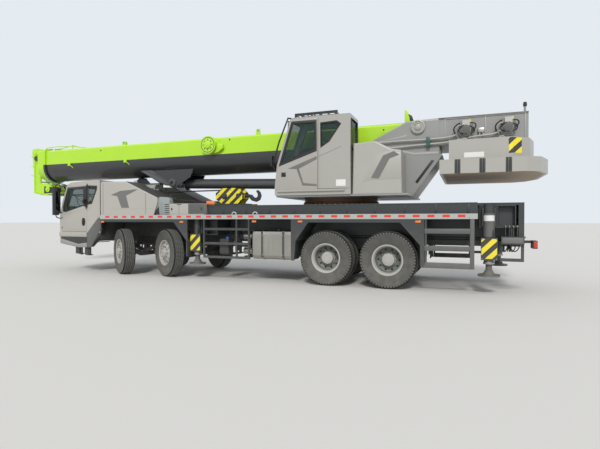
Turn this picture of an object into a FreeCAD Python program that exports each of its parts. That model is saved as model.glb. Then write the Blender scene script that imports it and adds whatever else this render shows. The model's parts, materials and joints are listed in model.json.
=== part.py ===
import FreeCAD, Part
import math
import os

# Four-axle truck crane with a telescopic boom, parked for the road.
# Millimetres. X points forward, Y to the vehicle's left, Z up from the ground.
# Every X below is measured from the rearmost axle. The pieces are moved at the end so that
# the origin lies mid-length, on the centre plane, on the ground.

V = FreeCAD.Vector
X_DIR = V(1, 0, 0)
Y_DIR = V(0, 1, 0)
Z_DIR = V(0, 0, 1)

# Overall clearances
SEAT = 0.3
RUN = 6.0
PIN_GAP = 0.5

# Running gear
TYRE_R = 610.0
TYRE_WIDTH = 300.0
RIM_R = 305.0
RIM_WIDTH = 240.0
RIM_WALL = 15.0
RIM_DISC = 18.0
HUB_WALL = 60.0
HAND_HOLES = 8
HAND_HOLE_R = 30.0
HAND_HOLES_REACH = 222.0
FRONT_TYRE_GAP = 250.0
REAR_TYRE_GAP = 130.0
FRONT_AXLE_X = {"1": 7060.0, "2": 7060.0 - 2 * TYRE_R - FRONT_TYRE_GAP}
REAR_AXLE_X = {"3": 2 * TYRE_R + REAR_TYRE_GAP, "4": 0.0}
FRONT_STEER_DEG = {"1": -33.0, "2": -28.0}
KINGPIN_Y = 1060.0
FRONT_WHEEL_OFFSET = 100.0
REAR_WHEEL_Y = 1172.0
TWIN_SPACING = 345.0
SPINDLE_R = 48.0
WHEEL_SIDES = 36

# Carrier frame and deck
FRAME_HALF = 430.0
FRAME_REAR_X = -2600.0
FRAME_STEP_X = 4250.0
FRAME_FRONT_X = 8900.0
FRAME_BOTTOM_Z = 900.0
RAIL_BOTTOM_Z = 840.0
RAIL_TOP_Z = 1200.0
RAIL_THICK = 100.0
CAB_SEAT_Z = 1100.0
DECK_Z = 1500.0
DECK_THICK = 80.0
DECK_HALF = 1380.0
DECK_REAR_X = -1750.0
DECK_FRONT_X = 7730.0
UPPER_DECK_Z = 1800.0
UPPER_DECK_HALF = DECK_HALF - 180.0
UPPER_DECK_FRONT_X = 4450.0

# Outriggers: centre of the left beam, the right beam lies one pitch behind it
OUTRIGGERS = {
    "front": {"x": 4770.0, "z0": 1080.0, "z1": 1480.0},
    "rear": {"x": -1960.0, "z0": 1300.0, "z1": 1750.0},
}
BEAM_PITCH = 320.0
BEAM_WIDTH = 290.0
BOX_WALL = 20.0
BOX_HALF = 1020.0
JACK_Y = 1150.0
JACK_R = 92.0
JACK_ROD_R = 60.0
JACK_BOTTOM_Z = 620.0
PAD_Z = 350.0
PAD_R = 205.0

# Superstructure
SLEW_X = 1360.0
RING_R = 900.0
FLOOR_Z = 1966.0
RING_TOP_Z = FLOOR_Z - SEAT
FLOOR_THICK = 45.0
FLOOR_TOP_Z = FLOOR_Z + FLOOR_THICK
PLATE_Y = 560.0
PLATE_THICK = 50.0
BOOM_PIVOT_X = -550.0
BOOM_PIVOT_Z = 3490.0
PIVOT_PIN_R = 70.0
CYL_FOOT_X = 2000.0
CYL_FOOT_Z = 2370.0
CYL_EYE_X = 6150.0
CYL_EYE_Z = 2490.0
BARREL_R = 135.0
ROD_R = 95.0

# Counterweight
CW_REAR_X = -3050.0
CW_LOWER_Z = (2370.0, 2650.0)
CW_UPPER_Z = (2650.0 + SEAT, 3060.0)
WINCH_FRAME_Z = (3060.0 + SEAT, 3650.0)
WINCH_X = (-1530.0, -2330.0)
WINCH_Z = 3340.0
MOTOR_R = 95.0

# Boom: nested sections, each drawn inside the one before
BOOM_TOP_Z = 3650.0
BOOM_BOTTOM_Z = 2700.0
BOOM_HALF = 430.0
BOOM_REAR_X = -750.0
BOOM_FRONT_X = 10900.0
BOOM_WALL = 12.0
SECTION_GAP = 18.0
COLLAR_LENGTH = 78.0
COLLAR_GAP = 6.0
HEAD_FRONT_X = 11630.0
HEAD_Y = (315.0, 345.0)
TOP_SHEAVES = {"x": HEAD_FRONT_X - 180, "z": 3600.0, "radius": 150.0}
LOW_SHEAVES = {"x": HEAD_FRONT_X - 690, "z": 2430.0, "radius": 165.0}
HEAD_SHEAVES = 4
GROOVE_DEPTH = 22.0
GROOVE_WIDTH = 48.0
BOOM_LUGS_X = (7835.0, 3485.0, -356.0)
REEL_X = 4830.0
REEL_Z = 3430.0

# Cabs
CAB_WALL = 40.0
CAB1_FRONT_X = 9470.0
CAB1_HALF = 1300.0
CAB1_REAR_X = 7810.0
CAB1_FLOOR_Z = 1170.0
CAB1_SEAT_Y = 0.43 * CAB1_HALF
DOOR_HINGE_X = 9214.0
DOOR_HINGE_Y = CAB1_HALF + 2
DOOR_HINGE_Z = (1240.0, 1520.0)
HINGE_R = 11.0
HINGE_PIN_R = 5.0
HINGE_KNUCKLE = 30.0
CAB2_OUTER_Y = 1375.0
CAB2_INNER_Y = 625.0

ORIGIN_X = (HEAD_FRONT_X + CW_REAR_X) / 2

pieces = {}


def box(x0, x1, y0, y1, z0, z1):
    return Part.makeBox(x1 - x0, y1 - y0, z1 - z0, V(x0, y0, z0))


def rod(start, end, radius):
    """Cylinder from one point to another."""
    line = V(*end) - V(*start)
    return Part.makeCylinder(radius, line.Length, V(*start), line)


def side_plate(outline, y0, y1):
    """Plate cut to an outline of (x, z) points, from y0 to y1."""
    points = [V(x, y0, z) for x, z in outline]
    return Part.Face(Part.makePolygon(points + points[:1])).extrude(V(0, y1 - y0, 0))


def plan_plate(outline, z0, z1):
    """Plate cut to an outline of (x, y) points, from z0 to z1."""
    points = [V(x, y, z0) for x, y in outline]
    return Part.Face(Part.makePolygon(points + points[:1])).extrude(V(0, 0, z1 - z0))


def cross_plate(outline, x0, x1):
    """Plate cut to an outline of (y, z) points, from x0 to x1."""
    points = [V(x0, y, z) for y, z in outline]
    return Part.Face(Part.makePolygon(points + points[:1])).extrude(V(x1 - x0, 0, 0))


def eased(y0, y1, z0, z1, ease):
    """Rectangle of (y, z) points with each corner taken off in three flats."""
    near = ease * 0.3
    return [
        (y0 + ease, z0), (y1 - ease, z0), (y1 - near, z0 + near), (y1, z0 + ease), (y1, z1 - ease),
        (y1 - near, z1 - near), (y1 - ease, z1), (y0 + ease, z1), (y0 + near, z1 - near), (y0, z1 - ease),
        (y0, z0 + ease), (y0 + near, z0 + near),
    ]


def offset(outline, by):
    """Outline with each edge moved outward by a distance, or inward where it is negative."""
    ends = outline[1:] + outline[:1]
    turn = 1 if sum(x0 * z1 - x1 * z0 for (x0, z0), (x1, z1) in zip(outline, ends)) > 0 else -1
    lines = []
    for (x0, z0), (x1, z1) in zip(outline, ends):
        length = math.hypot(x1 - x0, z1 - z0)
        nx = turn * (z1 - z0) / length
        nz = turn * (x0 - x1) / length
        lines.append((nx, nz, nx * x0 + nz * z0 + by))
    moved = []
    for (a, b, c), (d, e, f) in zip(lines[-1:] + lines[:-1], lines):
        moved.append(((c * e - b * f) / (a * e - b * d), (a * f - c * d) / (a * e - b * d)))
    return moved


def join(*shapes):
    return shapes[0].fuse(list(shapes[1:])).removeSplitter()


def flipped(shape):
    """The same piece on the other side of the centre plane."""
    return shape.mirror(V(0, 0, 0), Y_DIR)


def set_of(*shapes):
    """Like pieces in one node, none touching another."""
    solids = []
    for shape in shapes:
        solids += shape.Solids
    return Part.makeCompound(solids)


def both_sides(shape):
    return set_of(shape, flipped(shape))


def ring_turned(outline, x, y, z):
    """Body of revolution about Y through (x, z); the outline's points are (radius, y from y)."""
    points = [V(x + radius, y + across, z) for radius, across in outline]
    face = Part.Face(Part.makePolygon(points + points[:1]))
    return face.revolve(V(x, y, z), Y_DIR, 360)


def around(shape, x, y, z, axis, count):
    """Copies of a shape at equal angles round an axis."""
    copies = []
    for index in range(count):
        copy = shape.copy()
        copy.rotate(V(x, y, z), axis, 360.0 * index / count)
        copies.append(copy)
    return copies


# Wheels

def flats(x, radius, sides=WHEEL_SIDES):
    """Outline of equal flats round the wheel's middle, a flat at the ground."""
    corner = radius / math.cos(math.pi / sides)
    turns = [2 * math.pi * (index + 0.5) / sides for index in range(sides)]
    return [(x + corner * math.sin(turn), TYRE_R + corner * math.cos(turn)) for turn in turns]


def tyre(x, y):
    """Closed ring of flats through the section's six (radius, across) corners."""
    half = TYRE_WIDTH / 2
    section = [
        (RIM_R + SEAT, -half * 0.82), (RIM_R + 140, -half), (TYRE_R, -half * 0.76),
        (TYRE_R, half * 0.76), (RIM_R + 140, half), (RIM_R + SEAT, half * 0.82),
    ]
    loops = [[V(px, y + across, pz) for px, pz in flats(x, radius)] for radius, across in section]
    faces = []
    for index, loop in enumerate(loops):
        following = loops[(index + 1) % len(loops)]
        for side in range(WHEEL_SIDES):
            after = (side + 1) % WHEEL_SIDES
            corners = [loop[side], loop[after], following[after], following[side], loop[side]]
            faces.append(Part.Face(Part.makePolygon(corners)))
    ring = Part.Solid(Part.Shell(faces))
    if ring.Volume < 0:
        ring.reverse()
    return ring


def rim(x, y, dish, holes):
    """Rim with its disc; dish is where the disc lies, outward from the rim's middle."""
    half = RIM_WIDTH / 2
    disc_in = y + dish
    disc_out = disc_in + RIM_DISC
    well = flats(x, RIM_R - RIM_WALL, WHEEL_SIDES // 2)
    body = side_plate(flats(x, RIM_R), y - half, y + half)
    body = body.cut([side_plate(well, disc_out, y + half + 1), side_plate(well, y - half - 1, disc_in)])
    hub = rod((x, disc_in - 60, TYRE_R), (x, disc_out + 40, TYRE_R), SPINDLE_R + HUB_WALL)
    bore = rod((x, disc_in - 61, TYRE_R), (x, disc_out + 41, TYRE_R), SPINDLE_R + PIN_GAP)
    body = join(body, hub).cut(bore)
    if holes:
        hole = hexagon(x + HAND_HOLES_REACH, TYRE_R, HAND_HOLE_R, disc_in - 5, disc_out + 5)
        body = body.cut(around(hole, x, y, TYRE_R, Y_DIR, holes))
    return body


def hexagon(x, z, radius, y0, y1):
    turns = [math.radians(30 + 60 * index) for index in range(6)]
    return side_plate([(x + radius * math.cos(t), z + radius * math.sin(t)) for t in turns], y0, y1)


def front_wheels():
    for axle, x in FRONT_AXLE_X.items():
        y = KINGPIN_Y + FRONT_WHEEL_OFFSET
        for side, sign in (("left", 1), ("right", -1)):
            wheel = set_of(tyre(x, y), rim(x, y, 55.0, HAND_HOLES))
            if sign < 0:
                wheel = flipped(wheel)
            wheel.rotate(V(x, sign * KINGPIN_Y, 0), Z_DIR, FRONT_STEER_DEG[axle])
            pieces["wheel_%s_%s" % (axle, side)] = wheel


def rear_wheels():
    inner_y = REAR_WHEEL_Y - TWIN_SPACING
    for axle, x in REAR_AXLE_X.items():
        outer = [tyre(x, REAR_WHEEL_Y), rim(x, REAR_WHEEL_Y, -90.0, HAND_HOLES)]
        twin = [tyre(x, inner_y), rim(x, inner_y, 60.0, 0)]
        wheel = set_of(*(outer + twin))
        pieces["wheel_%s_left" % axle] = wheel
        pieces["wheel_%s_right" % axle] = flipped(wheel)


def knuckle(x):
    """Fork round the axle's eye with a kingpin through it and the spindle outboard."""
    z = TYRE_R
    y = KINGPIN_Y
    upper = rod((x, y, z + 76), (x, y, z + 120), 62.0)
    lower = rod((x, y, z - 120), (x, y, z - 76), 62.0)
    back = box(x - 55, x + 55, y + 66, y + 90, z - 120, z + 120)
    upper_web = box(x - 55, x + 55, y, y + 80, z + 76, z + 120)
    lower_web = box(x - 55, x + 55, y, y + 80, z - 120, z - 76)
    pin = rod((x, y, z - 100), (x, y, z + 100), 26.0)
    spindle = rod((x, y + 80, z), (x, y + FRONT_WHEEL_OFFSET + 108, z), SPINDLE_R)
    return join(upper, lower, back, upper_web, lower_web, pin, spindle)


def knuckles():
    for axle, x in FRONT_AXLE_X.items():
        for side, sign in (("left", 1), ("right", -1)):
            piece = knuckle(x)
            if sign < 0:
                piece = flipped(piece)
            piece.rotate(V(x, sign * KINGPIN_Y, 0), Z_DIR, FRONT_STEER_DEG[axle])
            pieces["knuckle_%s_%s" % (axle, side)] = piece


# Axles and springs

SPRING_Y = (FRAME_HALF - RAIL_THICK + 5, FRAME_HALF - 5)


def front_axle(x):
    z = TYRE_R
    beam = cross_plate([
        (-KINGPIN_Y, z - 70), (-KINGPIN_Y, z + 70), (-760, z + 40), (-560, z - 40),
        (560, z - 40), (760, z + 40), (KINGPIN_Y, z + 70), (KINGPIN_Y, z - 70),
        (760, z - 80), (560, z - 160), (-560, z - 160), (-760, z - 80),
    ], x - 45, x + 45)
    eye = rod((x, KINGPIN_Y, z - 70), (x, KINGPIN_Y, z + 70), 58.0)
    bore = rod((x, KINGPIN_Y, z - 90), (x, KINGPIN_Y, z + 90), 26.0 + PIN_GAP)
    beam = join(beam, eye, flipped(eye))
    return beam.cut([bore, flipped(bore)])


def front_spring(x):
    """Leaf pack from the axle's top up to the rail at both ends."""
    base = TYRE_R - 40
    reach = 640.0
    outline = [
        (x - reach, RAIL_BOTTOM_Z), (x - reach, RAIL_BOTTOM_Z - 60), (x - 110, base), (x + 110, base),
        (x + reach, RAIL_BOTTOM_Z - 60), (x + reach, RAIL_BOTTOM_Z), (x + reach - 60, RAIL_BOTTOM_Z),
        (x + 120, base + 90), (x - 120, base + 90), (x - reach + 60, RAIL_BOTTOM_Z),
    ]
    return side_plate(outline, *SPRING_Y)


def front_axles():
    parts = []
    for x in FRONT_AXLE_X.values():
        spring = front_spring(x)
        parts.append(join(front_axle(x), spring, flipped(spring)))
    pieces["front_axles"] = set_of(*parts)


def rear_axle(x):
    z = TYRE_R
    inner_end = REAR_WHEEL_Y - TWIN_SPACING - 70
    tube = rod((x, -inner_end, z), (x, inner_end, z), 85.0)
    spindle = rod((x, -REAR_WHEEL_Y - 30, z), (x, REAR_WHEEL_Y + 30, z), SPINDLE_R)
    banjo = side_plate([
        (x - 170, z - 110), (x - 90, z - 200), (x + 90, z - 200), (x + 170, z - 110), (x + 170, z + 110),
        (x + 90, z + 200), (x - 90, z + 200), (x - 170, z + 110),
    ], -170, 170)
    pad = box(x - 90, x + 90, SPRING_Y[0], SPRING_Y[1], z, z + 95)
    return join(tube, spindle, banjo, pad, flipped(pad))


def rear_axles():
    front_x = REAR_AXLE_X["3"]
    rear_x = REAR_AXLE_X["4"]
    middle = (front_x + rear_x) / 2
    low = TYRE_R + 95
    outline = [
        (rear_x - 110, low), (rear_x + 110, low), (middle, FRAME_BOTTOM_Z - 110), (front_x - 110, low),
        (front_x + 110, low), (front_x + 110, low + 60), (middle + 130, FRAME_BOTTOM_Z),
        (middle - 130, FRAME_BOTTOM_Z), (rear_x - 110, low + 60),
    ]
    spring = side_plate(outline, *SPRING_Y)
    pieces["rear_axles"] = set_of(join(rear_axle(front_x), rear_axle(rear_x), spring, flipped(spring)))


# Carrier frame

def outrigger_box(spec):
    """Cross box open at both ends, with one cavity for each beam."""
    x1 = spec["x"] + BEAM_WIDTH / 2 + BOX_WALL + RUN
    x0 = spec["x"] - BEAM_PITCH - BEAM_WIDTH / 2 - BOX_WALL - RUN
    return box(x0, x1, -BOX_HALF, BOX_HALF, spec["z0"], spec["z1"])


def beam_slots(spec):
    half = BEAM_WIDTH / 2 + RUN
    z0 = spec["z0"] + BOX_WALL
    z1 = spec["z1"] - BOX_WALL
    centres = (spec["x"], spec["x"] - BEAM_PITCH)
    return [box(x - half, x + half, -BOX_HALF - 1, BOX_HALF + 1, z0, z1) for x in centres]


def outrigger_boxes():
    boxes = [outrigger_box(spec).cut(beam_slots(spec)) for spec in OUTRIGGERS.values()]
    pieces["outrigger_boxes"] = set_of(*boxes)


def chassis():
    spine = box(FRAME_REAR_X, FRAME_STEP_X, -FRAME_HALF, FRAME_HALF, FRAME_BOTTOM_Z, DECK_Z)
    rail = side_plate([
        (FRAME_STEP_X - 10, RAIL_BOTTOM_Z + 60), (FRAME_STEP_X + 150, RAIL_BOTTOM_Z),
        (FRAME_FRONT_X, RAIL_BOTTOM_Z), (FRAME_FRONT_X, CAB_SEAT_Z), (7800, CAB_SEAT_Z), (7700, RAIL_TOP_Z),
        (FRAME_STEP_X - 10, RAIL_TOP_Z),
    ], FRAME_HALF - RAIL_THICK, FRAME_HALF)
    posts = [
        box(x, x + 90, FRAME_HALF - RAIL_THICK, FRAME_HALF, RAIL_TOP_Z - 20, DECK_Z)
        for x in (5150.0, 5750.0, 6600.0, 7550.0)
    ]
    ties = [
        box(x, x + 80, -FRAME_HALF + 20, FRAME_HALF - 20, RAIL_BOTTOM_Z + 40, RAIL_TOP_Z - 120)
        for x in (7620.0, 8300.0, 8820.0)
    ]
    end_plate = box(FRAME_REAR_X, FRAME_REAR_X + 100, -980, 980, 1000, UPPER_DECK_Z)
    rear_roof = box(FRAME_REAR_X, DECK_REAR_X - SEAT, -980, 980, OUTRIGGERS["rear"]["z1"], UPPER_DECK_Z)
    frame = join(spine, rail, flipped(rail), *posts, *[flipped(post) for post in posts], *ties)
    rear = join(frame, end_plate, rear_roof)
    rear = rear.cut([outrigger_box(spec) for spec in OUTRIGGERS.values()])
    pieces["chassis_frame"] = set_of(rear)


def deck():
    slab = box(DECK_REAR_X, DECK_FRONT_X, -DECK_HALF, DECK_HALF, DECK_Z, DECK_Z + DECK_THICK)
    half = UPPER_DECK_HALF
    upper = box(DECK_REAR_X, UPPER_DECK_FRONT_X, -half, half, DECK_Z + 40, UPPER_DECK_Z)
    tray = box(HOOK_X0 - 40, HOOK_X1 + 40, HOOK_Y0 - 20, HOOK_Y1 + 20, UPPER_DECK_Z - 20, HOOK_Z0 - SEAT)
    pieces["deck"] = set_of(join(slab, upper, tray))


FENDER_DEPTH = (1010.0, DECK_HALF)
REAR_FENDER_Y = (700.0, DECK_HALF)
FENDER_TOP_Z = 1400.0


def fenders():
    """Bands along the deck's edge over each pair of wheels, with the sheets behind them."""
    top = FENDER_TOP_Z
    x3 = REAR_AXLE_X["3"]
    x4 = REAR_AXLE_X["4"]
    rear_band = side_plate([
        (x3 + 730, 540), (x3 + 687, 985), (x3 + 389, top), (x4 - 268, top), (x4 - 669, 943),
        (x4 - 679, 491), (x4 - 749, 491), (x4 - 749, 1492), (x4 - 700, DECK_Z),
        (x3 + 710, DECK_Z), (x3 + 800, 1492), (x3 + 800, 540),
    ], DECK_HALF - 45, DECK_HALF - 5)
    rear_sheet = side_plate([
        (x3 + 730, 600), (x3 + 687, 985), (x3 + 389, top), (x4 - 268, top), (x4 - 669, 943), (x4 - 679, 600),
        (x4 - 699, 600), (x4 - 690, 951), (x4 - 278, top + 22), (x3 + 399, top + 22), (x3 + 708, 993),
        (x3 + 750, 600),
    ], REAR_FENDER_Y[0], DECK_HALF - 45)
    x1 = FRONT_AXLE_X["1"]
    x2 = FRONT_AXLE_X["2"]
    front_band = side_plate([
        (x2 - 635, 555), (x2 - 636, 943), (x2 - 256, top), (x1 + 600, top), (x1 + 640, 1330),
        (DECK_FRONT_X, 1330), (DECK_FRONT_X, DECK_Z), (x2 - 665, DECK_Z), (x2 - 665, 555),
    ], DECK_HALF - 45, DECK_HALF - 5)
    front_sheet = side_plate([
        (x2 - 652, 700), (x2 - 652, 945), (x2 - 240, top + 2), (x1 + 580, top + 2), (x1 + 580, top + 22),
        (x2 - 248, top + 22), (x2 - 664, 951), (x2 - 664, 700),
    ], FENDER_DEPTH[0], DECK_HALF - 45)
    pieces["fenders"] = both_sides(set_of(join(rear_band, rear_sheet), join(front_band, front_sheet)))


def engine_covers():
    """Sloping housing each side behind the cab, with the boxes that follow it on the deck."""
    z0 = DECK_Z + DECK_THICK
    housing = side_plate([
        (7700, z0), (7700, 2470), (7660, 2490), (6860, 2470), (5830, 2020), (5830, 1900), (5950, z0),
    ], DECK_HALF - 480, DECK_HALF - 5)
    rounded = [e for e in housing.Edges if outer_sloped_edge(e, DECK_HALF - 5, 2000.0)]
    housing = housing.makeFillet(30.0, rounded)
    inner_y = DECK_HALF - 370
    outer_y = DECK_HALF - 50
    intake = side_plate([
        (5938, z0), (5815, 1900), (5815, 2000), (5680, 2027), (5606, 1918), (5606, z0),
    ], inner_y, outer_y)
    step_box = box(4470, 5570, inner_y - 10, outer_y, z0, 1865)
    pieces["engine_covers"] = both_sides(set_of(housing, intake, step_box))


def outer_sloped_edge(edge, y, z_min):
    """Edges of the outer side above z_min that lie in the plane at y."""
    box_of = edge.BoundBox
    in_plane = abs(box_of.YMin - y) < 1 and abs(box_of.YMax - y) < 1
    return in_plane and box_of.ZMax > z_min and box_of.XLength > 20


def engine_and_driveline():
    engine = box(6100, 7450, -300, 300, 870, 1440)
    gearbox = box(5250, 6100, -190, 190, 900, 1290)
    shaft = rod((5260, 0, 960), (4500, 0, 800), 55.0)
    front_shaft = rod((4500, 0, 800), (REAR_AXLE_X["3"] + 160, 0, 660), 55.0)
    joint = box(4430, 4570, -80, 80, 720, 870)
    rear_shaft = rod((REAR_AXLE_X["4"] + 165, 0, TYRE_R), (REAR_AXLE_X["3"] - 165, 0, TYRE_R), 50.0)
    power = join(engine, gearbox, shaft, joint, front_shaft)
    power = power.cut(box(REAR_AXLE_X["3"] - 300, REAR_AXLE_X["3"] + 170, -300, 300, 300, 900))
    link = rear_shaft.cut([box(x - 170, x + 170, -300, 300, 300, 900) for x in REAR_AXLE_X.values()])
    pieces["engine_and_driveline"] = set_of(power, link)


# Tanks and guards on the carrier's sides

def side_tanks():
    x0 = REAR_AXLE_X["3"] + 812
    y0 = DECK_HALF - 620
    y1 = DECK_HALF - 80
    tank = cross_plate(eased(y0, y1, 540, 1210, 90), x0, 3150)
    straps = [cross_plate(eased(y0 - 8, y1 + 8, 532, 1218, 92), x, x + 45) for x in (2360.0, 2860.0)]
    hanger = box(x0 + 60, 3090, FRAME_HALF, 780, 930, 1180)
    tank = join(tank, *straps, hanger)
    reservoirs = [rod((3230, 1120, z), (3450, 1120, z), 78.0) for z in (715.0, 1070.0)]
    rack = box(3300, 3360, FRAME_HALF, 1120, 640, 1150)
    air = join(rack, *reservoirs)
    pieces["side_tanks"] = both_sides(set_of(tank, air))


# Columns: rear end, front end, the posts' rear faces, and the heights of the rails
GUARDS = {
    "left": [
        (3200.0, 4460.0, (3200.0, 3526.0, 4425.0), (560.0, 890.0, 1235.0)),
        (-1680.0, -755.0, (-1680.0, -800.0), (520.0, 890.0, 1240.0)),
    ],
    "right": [
        (3200.0, 4270.0, (3200.0, 3526.0, 4230.0), (560.0, 890.0, 1235.0)),
        (-1680.0, -755.0, (-1680.0, -800.0), (520.0, 890.0, 1240.0)),
    ],
}


def guards():
    """Side guards that double as ladders: posts under the deck's edge, with flat rails."""
    post_y = (DECK_HALF - 50, DECK_HALF - 10)
    rail_y = (DECK_HALF - 62, DECK_HALF - 8)
    parts = []
    for side, rows in GUARDS.items():
        for x0, x1, posts, rails in rows:
            bars = [box(x, x + 40, *post_y, rails[0], DECK_Z) for x in posts]
            bars += [box(x0, x1, *rail_y, z - 28, z + 28) for z in rails]
            guard = join(*bars)
            parts.append(guard if side == "left" else flipped(guard))
    pieces["guards"] = set_of(*parts)


def boom_rest():
    z0 = DECK_Z + DECK_THICK
    post = box(7420, 7520, -330, 330, z0, 2480)
    post = post.cut(box(7400, 7540, -220, 220, z0 + 80, 2360))
    pad = cross_plate([
        (-300, 2450), (300, 2450), (300, 2530), (120, 2660), (-120, 2660), (-300, 2530),
    ], 7400, 7540)
    boom_z = BOOM_BOTTOM_Z + BOOM_HALF
    cradle = rod((7300, 0, boom_z), (7640, 0, boom_z), BOOM_HALF + RUN)
    brace = side_plate([(7430, z0), (7430, 1760), (6500, z0 + 70), (6380, z0)], -300, -220)
    pieces["boom_rest"] = set_of(join(post, pad.cut(cradle), brace, flipped(brace)))


def slew_ring():
    ring = rod((SLEW_X, 0, UPPER_DECK_Z), (SLEW_X, 0, RING_TOP_Z), RING_R)
    bore = rod((SLEW_X, 0, UPPER_DECK_Z - 1), (SLEW_X, 0, RING_TOP_Z + 1), RING_R - 170)
    pieces["slew_ring"] = set_of(ring.cut(bore))


def lever_bank(x0, hanger_x):
    """Levers on a panel with a guard below, hung from the underside of the rear outrigger box."""
    x1 = x0 + 410
    y0 = BOX_HALF - 20
    y = BOX_HALF + 40
    panel = box(x0, x1, y0, y + 60, 980, 1130)
    levers = [rod((x, y, 1100), (x, y, 1330), 9.0) for x in (x0 + 120, x0 + 190, x0 + 260, x0 + 330)]
    foot = box(x0, x1, y0, y, 640, 700)
    back = box(x0, x0 + 50, y0, y, 640, 1130)
    hanger = box(hanger_x, hanger_x + 60, y0 - 40, y0 + 10, 990, OUTRIGGERS["rear"]["z0"] - SEAT)
    return join(panel, foot, back, hanger, *levers)


def outrigger_controls():
    """One bank at each side, beside the jack there."""
    left = lever_bank(-2590, -2420)
    right = flipped(lever_bank(-2110, -2080))
    pieces["outrigger_controls"] = set_of(left, right)


def lamps():
    """Lamp units on arms behind the frame, and headlamps let into the cab's front."""
    tail_arm = box(FRAME_REAR_X - 125, FRAME_REAR_X - SEAT, 905, 970, 1005, 1055)
    tail = box(FRAME_REAR_X - 200, FRAME_REAR_X - 120, 900, 1220, 910, 1060)
    head = box(CAB1_FRONT_X - 38, CAB1_FRONT_X + 5, CAB1_HALF - 450, CAB1_HALF - 150, 980, 1110)
    pieces["lamps"] = both_sides(set_of(join(tail, tail_arm), head.cut(cab1_body())))


# Carrier cab

CAB1_PROFILE = [
    (CAB1_REAR_X, CAB_SEAT_Z + SEAT), (CAB1_REAR_X, 2545), (7960, 2560), (8860, 2505), (9010, 2440),
    (9250, 1840), (9400, 1600), (9440, 1000), (9380, 930), (8300, 930), (8300, CAB_SEAT_Z + SEAT),
]
CAB1_DOOR = [(8290, 1130), (8290, 2400), (8990, 2370), (9180, 1840), (9220, 1600), (9220, 1130)]
CAB1_DOOR_WINDOW = [(8400, 1875), (8400, 2318), (8960, 2310), (9090, 1850), (9060, 1720)]
SCREEN_LOW_Z = 1850.0
SCREEN_TOP_Z = 2390.0
SCREEN_HALF = CAB1_HALF - 220
CAB1_QUARTER = [(8240, 1930), (8240, 2370), (7930, 2359), (8128, 1942)]


def cab1_body():
    """Outer form of the cab: the side profile with its front corners rounded in plan."""
    body = side_plate(CAB1_PROFILE, -CAB1_HALF, CAB1_HALF)
    r = 260.0
    plan = plan_plate([
        (7700, -CAB1_HALF), (CAB1_FRONT_X - r, -CAB1_HALF), (CAB1_FRONT_X - 70, -CAB1_HALF + 90),
        (CAB1_FRONT_X, -CAB1_HALF + r), (CAB1_FRONT_X, CAB1_HALF - r), (CAB1_FRONT_X - 70, CAB1_HALF - 90),
        (CAB1_FRONT_X - r, CAB1_HALF), (7700, CAB1_HALF),
    ], 800, 2700)
    return body.common(plan)


def cab1_hollow():
    rear_x = CAB1_REAR_X + CAB_WALL
    inner = side_plate([
        (rear_x, CAB1_FLOOR_Z), (rear_x, 2500), (8860, 2460), (8970, 2400), (9200, 1830), (9340, 1580),
        (9360, CAB1_FLOOR_Z),
    ], -CAB1_HALF + CAB_WALL, CAB1_HALF - CAB_WALL)
    r = 300.0
    plan = plan_plate([
        (7700, -CAB1_HALF), (CAB1_FRONT_X - r, -CAB1_HALF), (CAB1_FRONT_X - 60, -CAB1_HALF + r),
        (CAB1_FRONT_X - 60, CAB1_HALF - r), (CAB1_FRONT_X - r, CAB1_HALF), (7700, CAB1_HALF),
    ], 800, 2700)
    return inner.common(plan)


def frame_tunnel():
    """Room below the cab's floor for the rails that it stands on."""
    return box(7700, FRAME_FRONT_X + RUN, -FRAME_HALF - RUN, FRAME_HALF + RUN, 800, CAB_SEAT_Z + SEAT)


def windscreen_cut():
    """Opening of the windscreen, as a slab that leans with the front of the cab."""
    return side_plate([
        (9340, SCREEN_TOP_Z), (8940, SCREEN_TOP_Z), (9145, SCREEN_LOW_Z), (9555, SCREEN_LOW_Z),
    ], -SCREEN_HALF, SCREEN_HALF)


def hinge_axis(z, below, above, radius):
    """Round of a door hinge at height z, from one height to another about its middle."""
    return rod((DOOR_HINGE_X, DOOR_HINGE_Y, z + below), (DOOR_HINGE_X, DOOR_HINGE_Y, z + above), radius)


def hinge_bracket(z):
    """Fixed half of a hinge: two knuckles on arms from the cab's corner, with the pin through both."""
    half = HINGE_KNUCKLE / 2
    y = CAB1_HALF
    arm = [
        (DOOR_HINGE_X, y - 8), (9228, y - 8), (9228, y - 38), (9290, y - 50), (9290, y - 26), (9232, y + 4),
        (DOOR_HINGE_X, y + 12),
    ]
    parts = []
    for below, above in ((-3 * half, -half - 1), (half + 1, 3 * half)):
        parts += [plan_plate(arm, z + below, z + above), hinge_axis(z, below, above, HINGE_R)]
    return join(*parts, hinge_axis(z, -3 * half, 3 * half, HINGE_PIN_R))


def hinged(door, z):
    """Door with its knuckle on a strap, cleared round the fixed half's knuckles and bored for the pin."""
    half = HINGE_KNUCKLE / 2
    strap = box(DOOR_HINGE_X - 90, DOOR_HINGE_X, CAB1_HALF - 1, CAB1_HALF + 7, z - half, z + half)
    room = [
        hinge_axis(z, -3 * half - RUN, -half, HINGE_R + RUN),
        hinge_axis(z, half, 3 * half + RUN, HINGE_R + RUN),
    ]
    leaf = join(door.cut(room), strap, hinge_axis(z, -half, half, HINGE_R))
    return leaf.cut(hinge_axis(z, -3 * half, 3 * half, HINGE_PIN_R + PIN_GAP))


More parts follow.
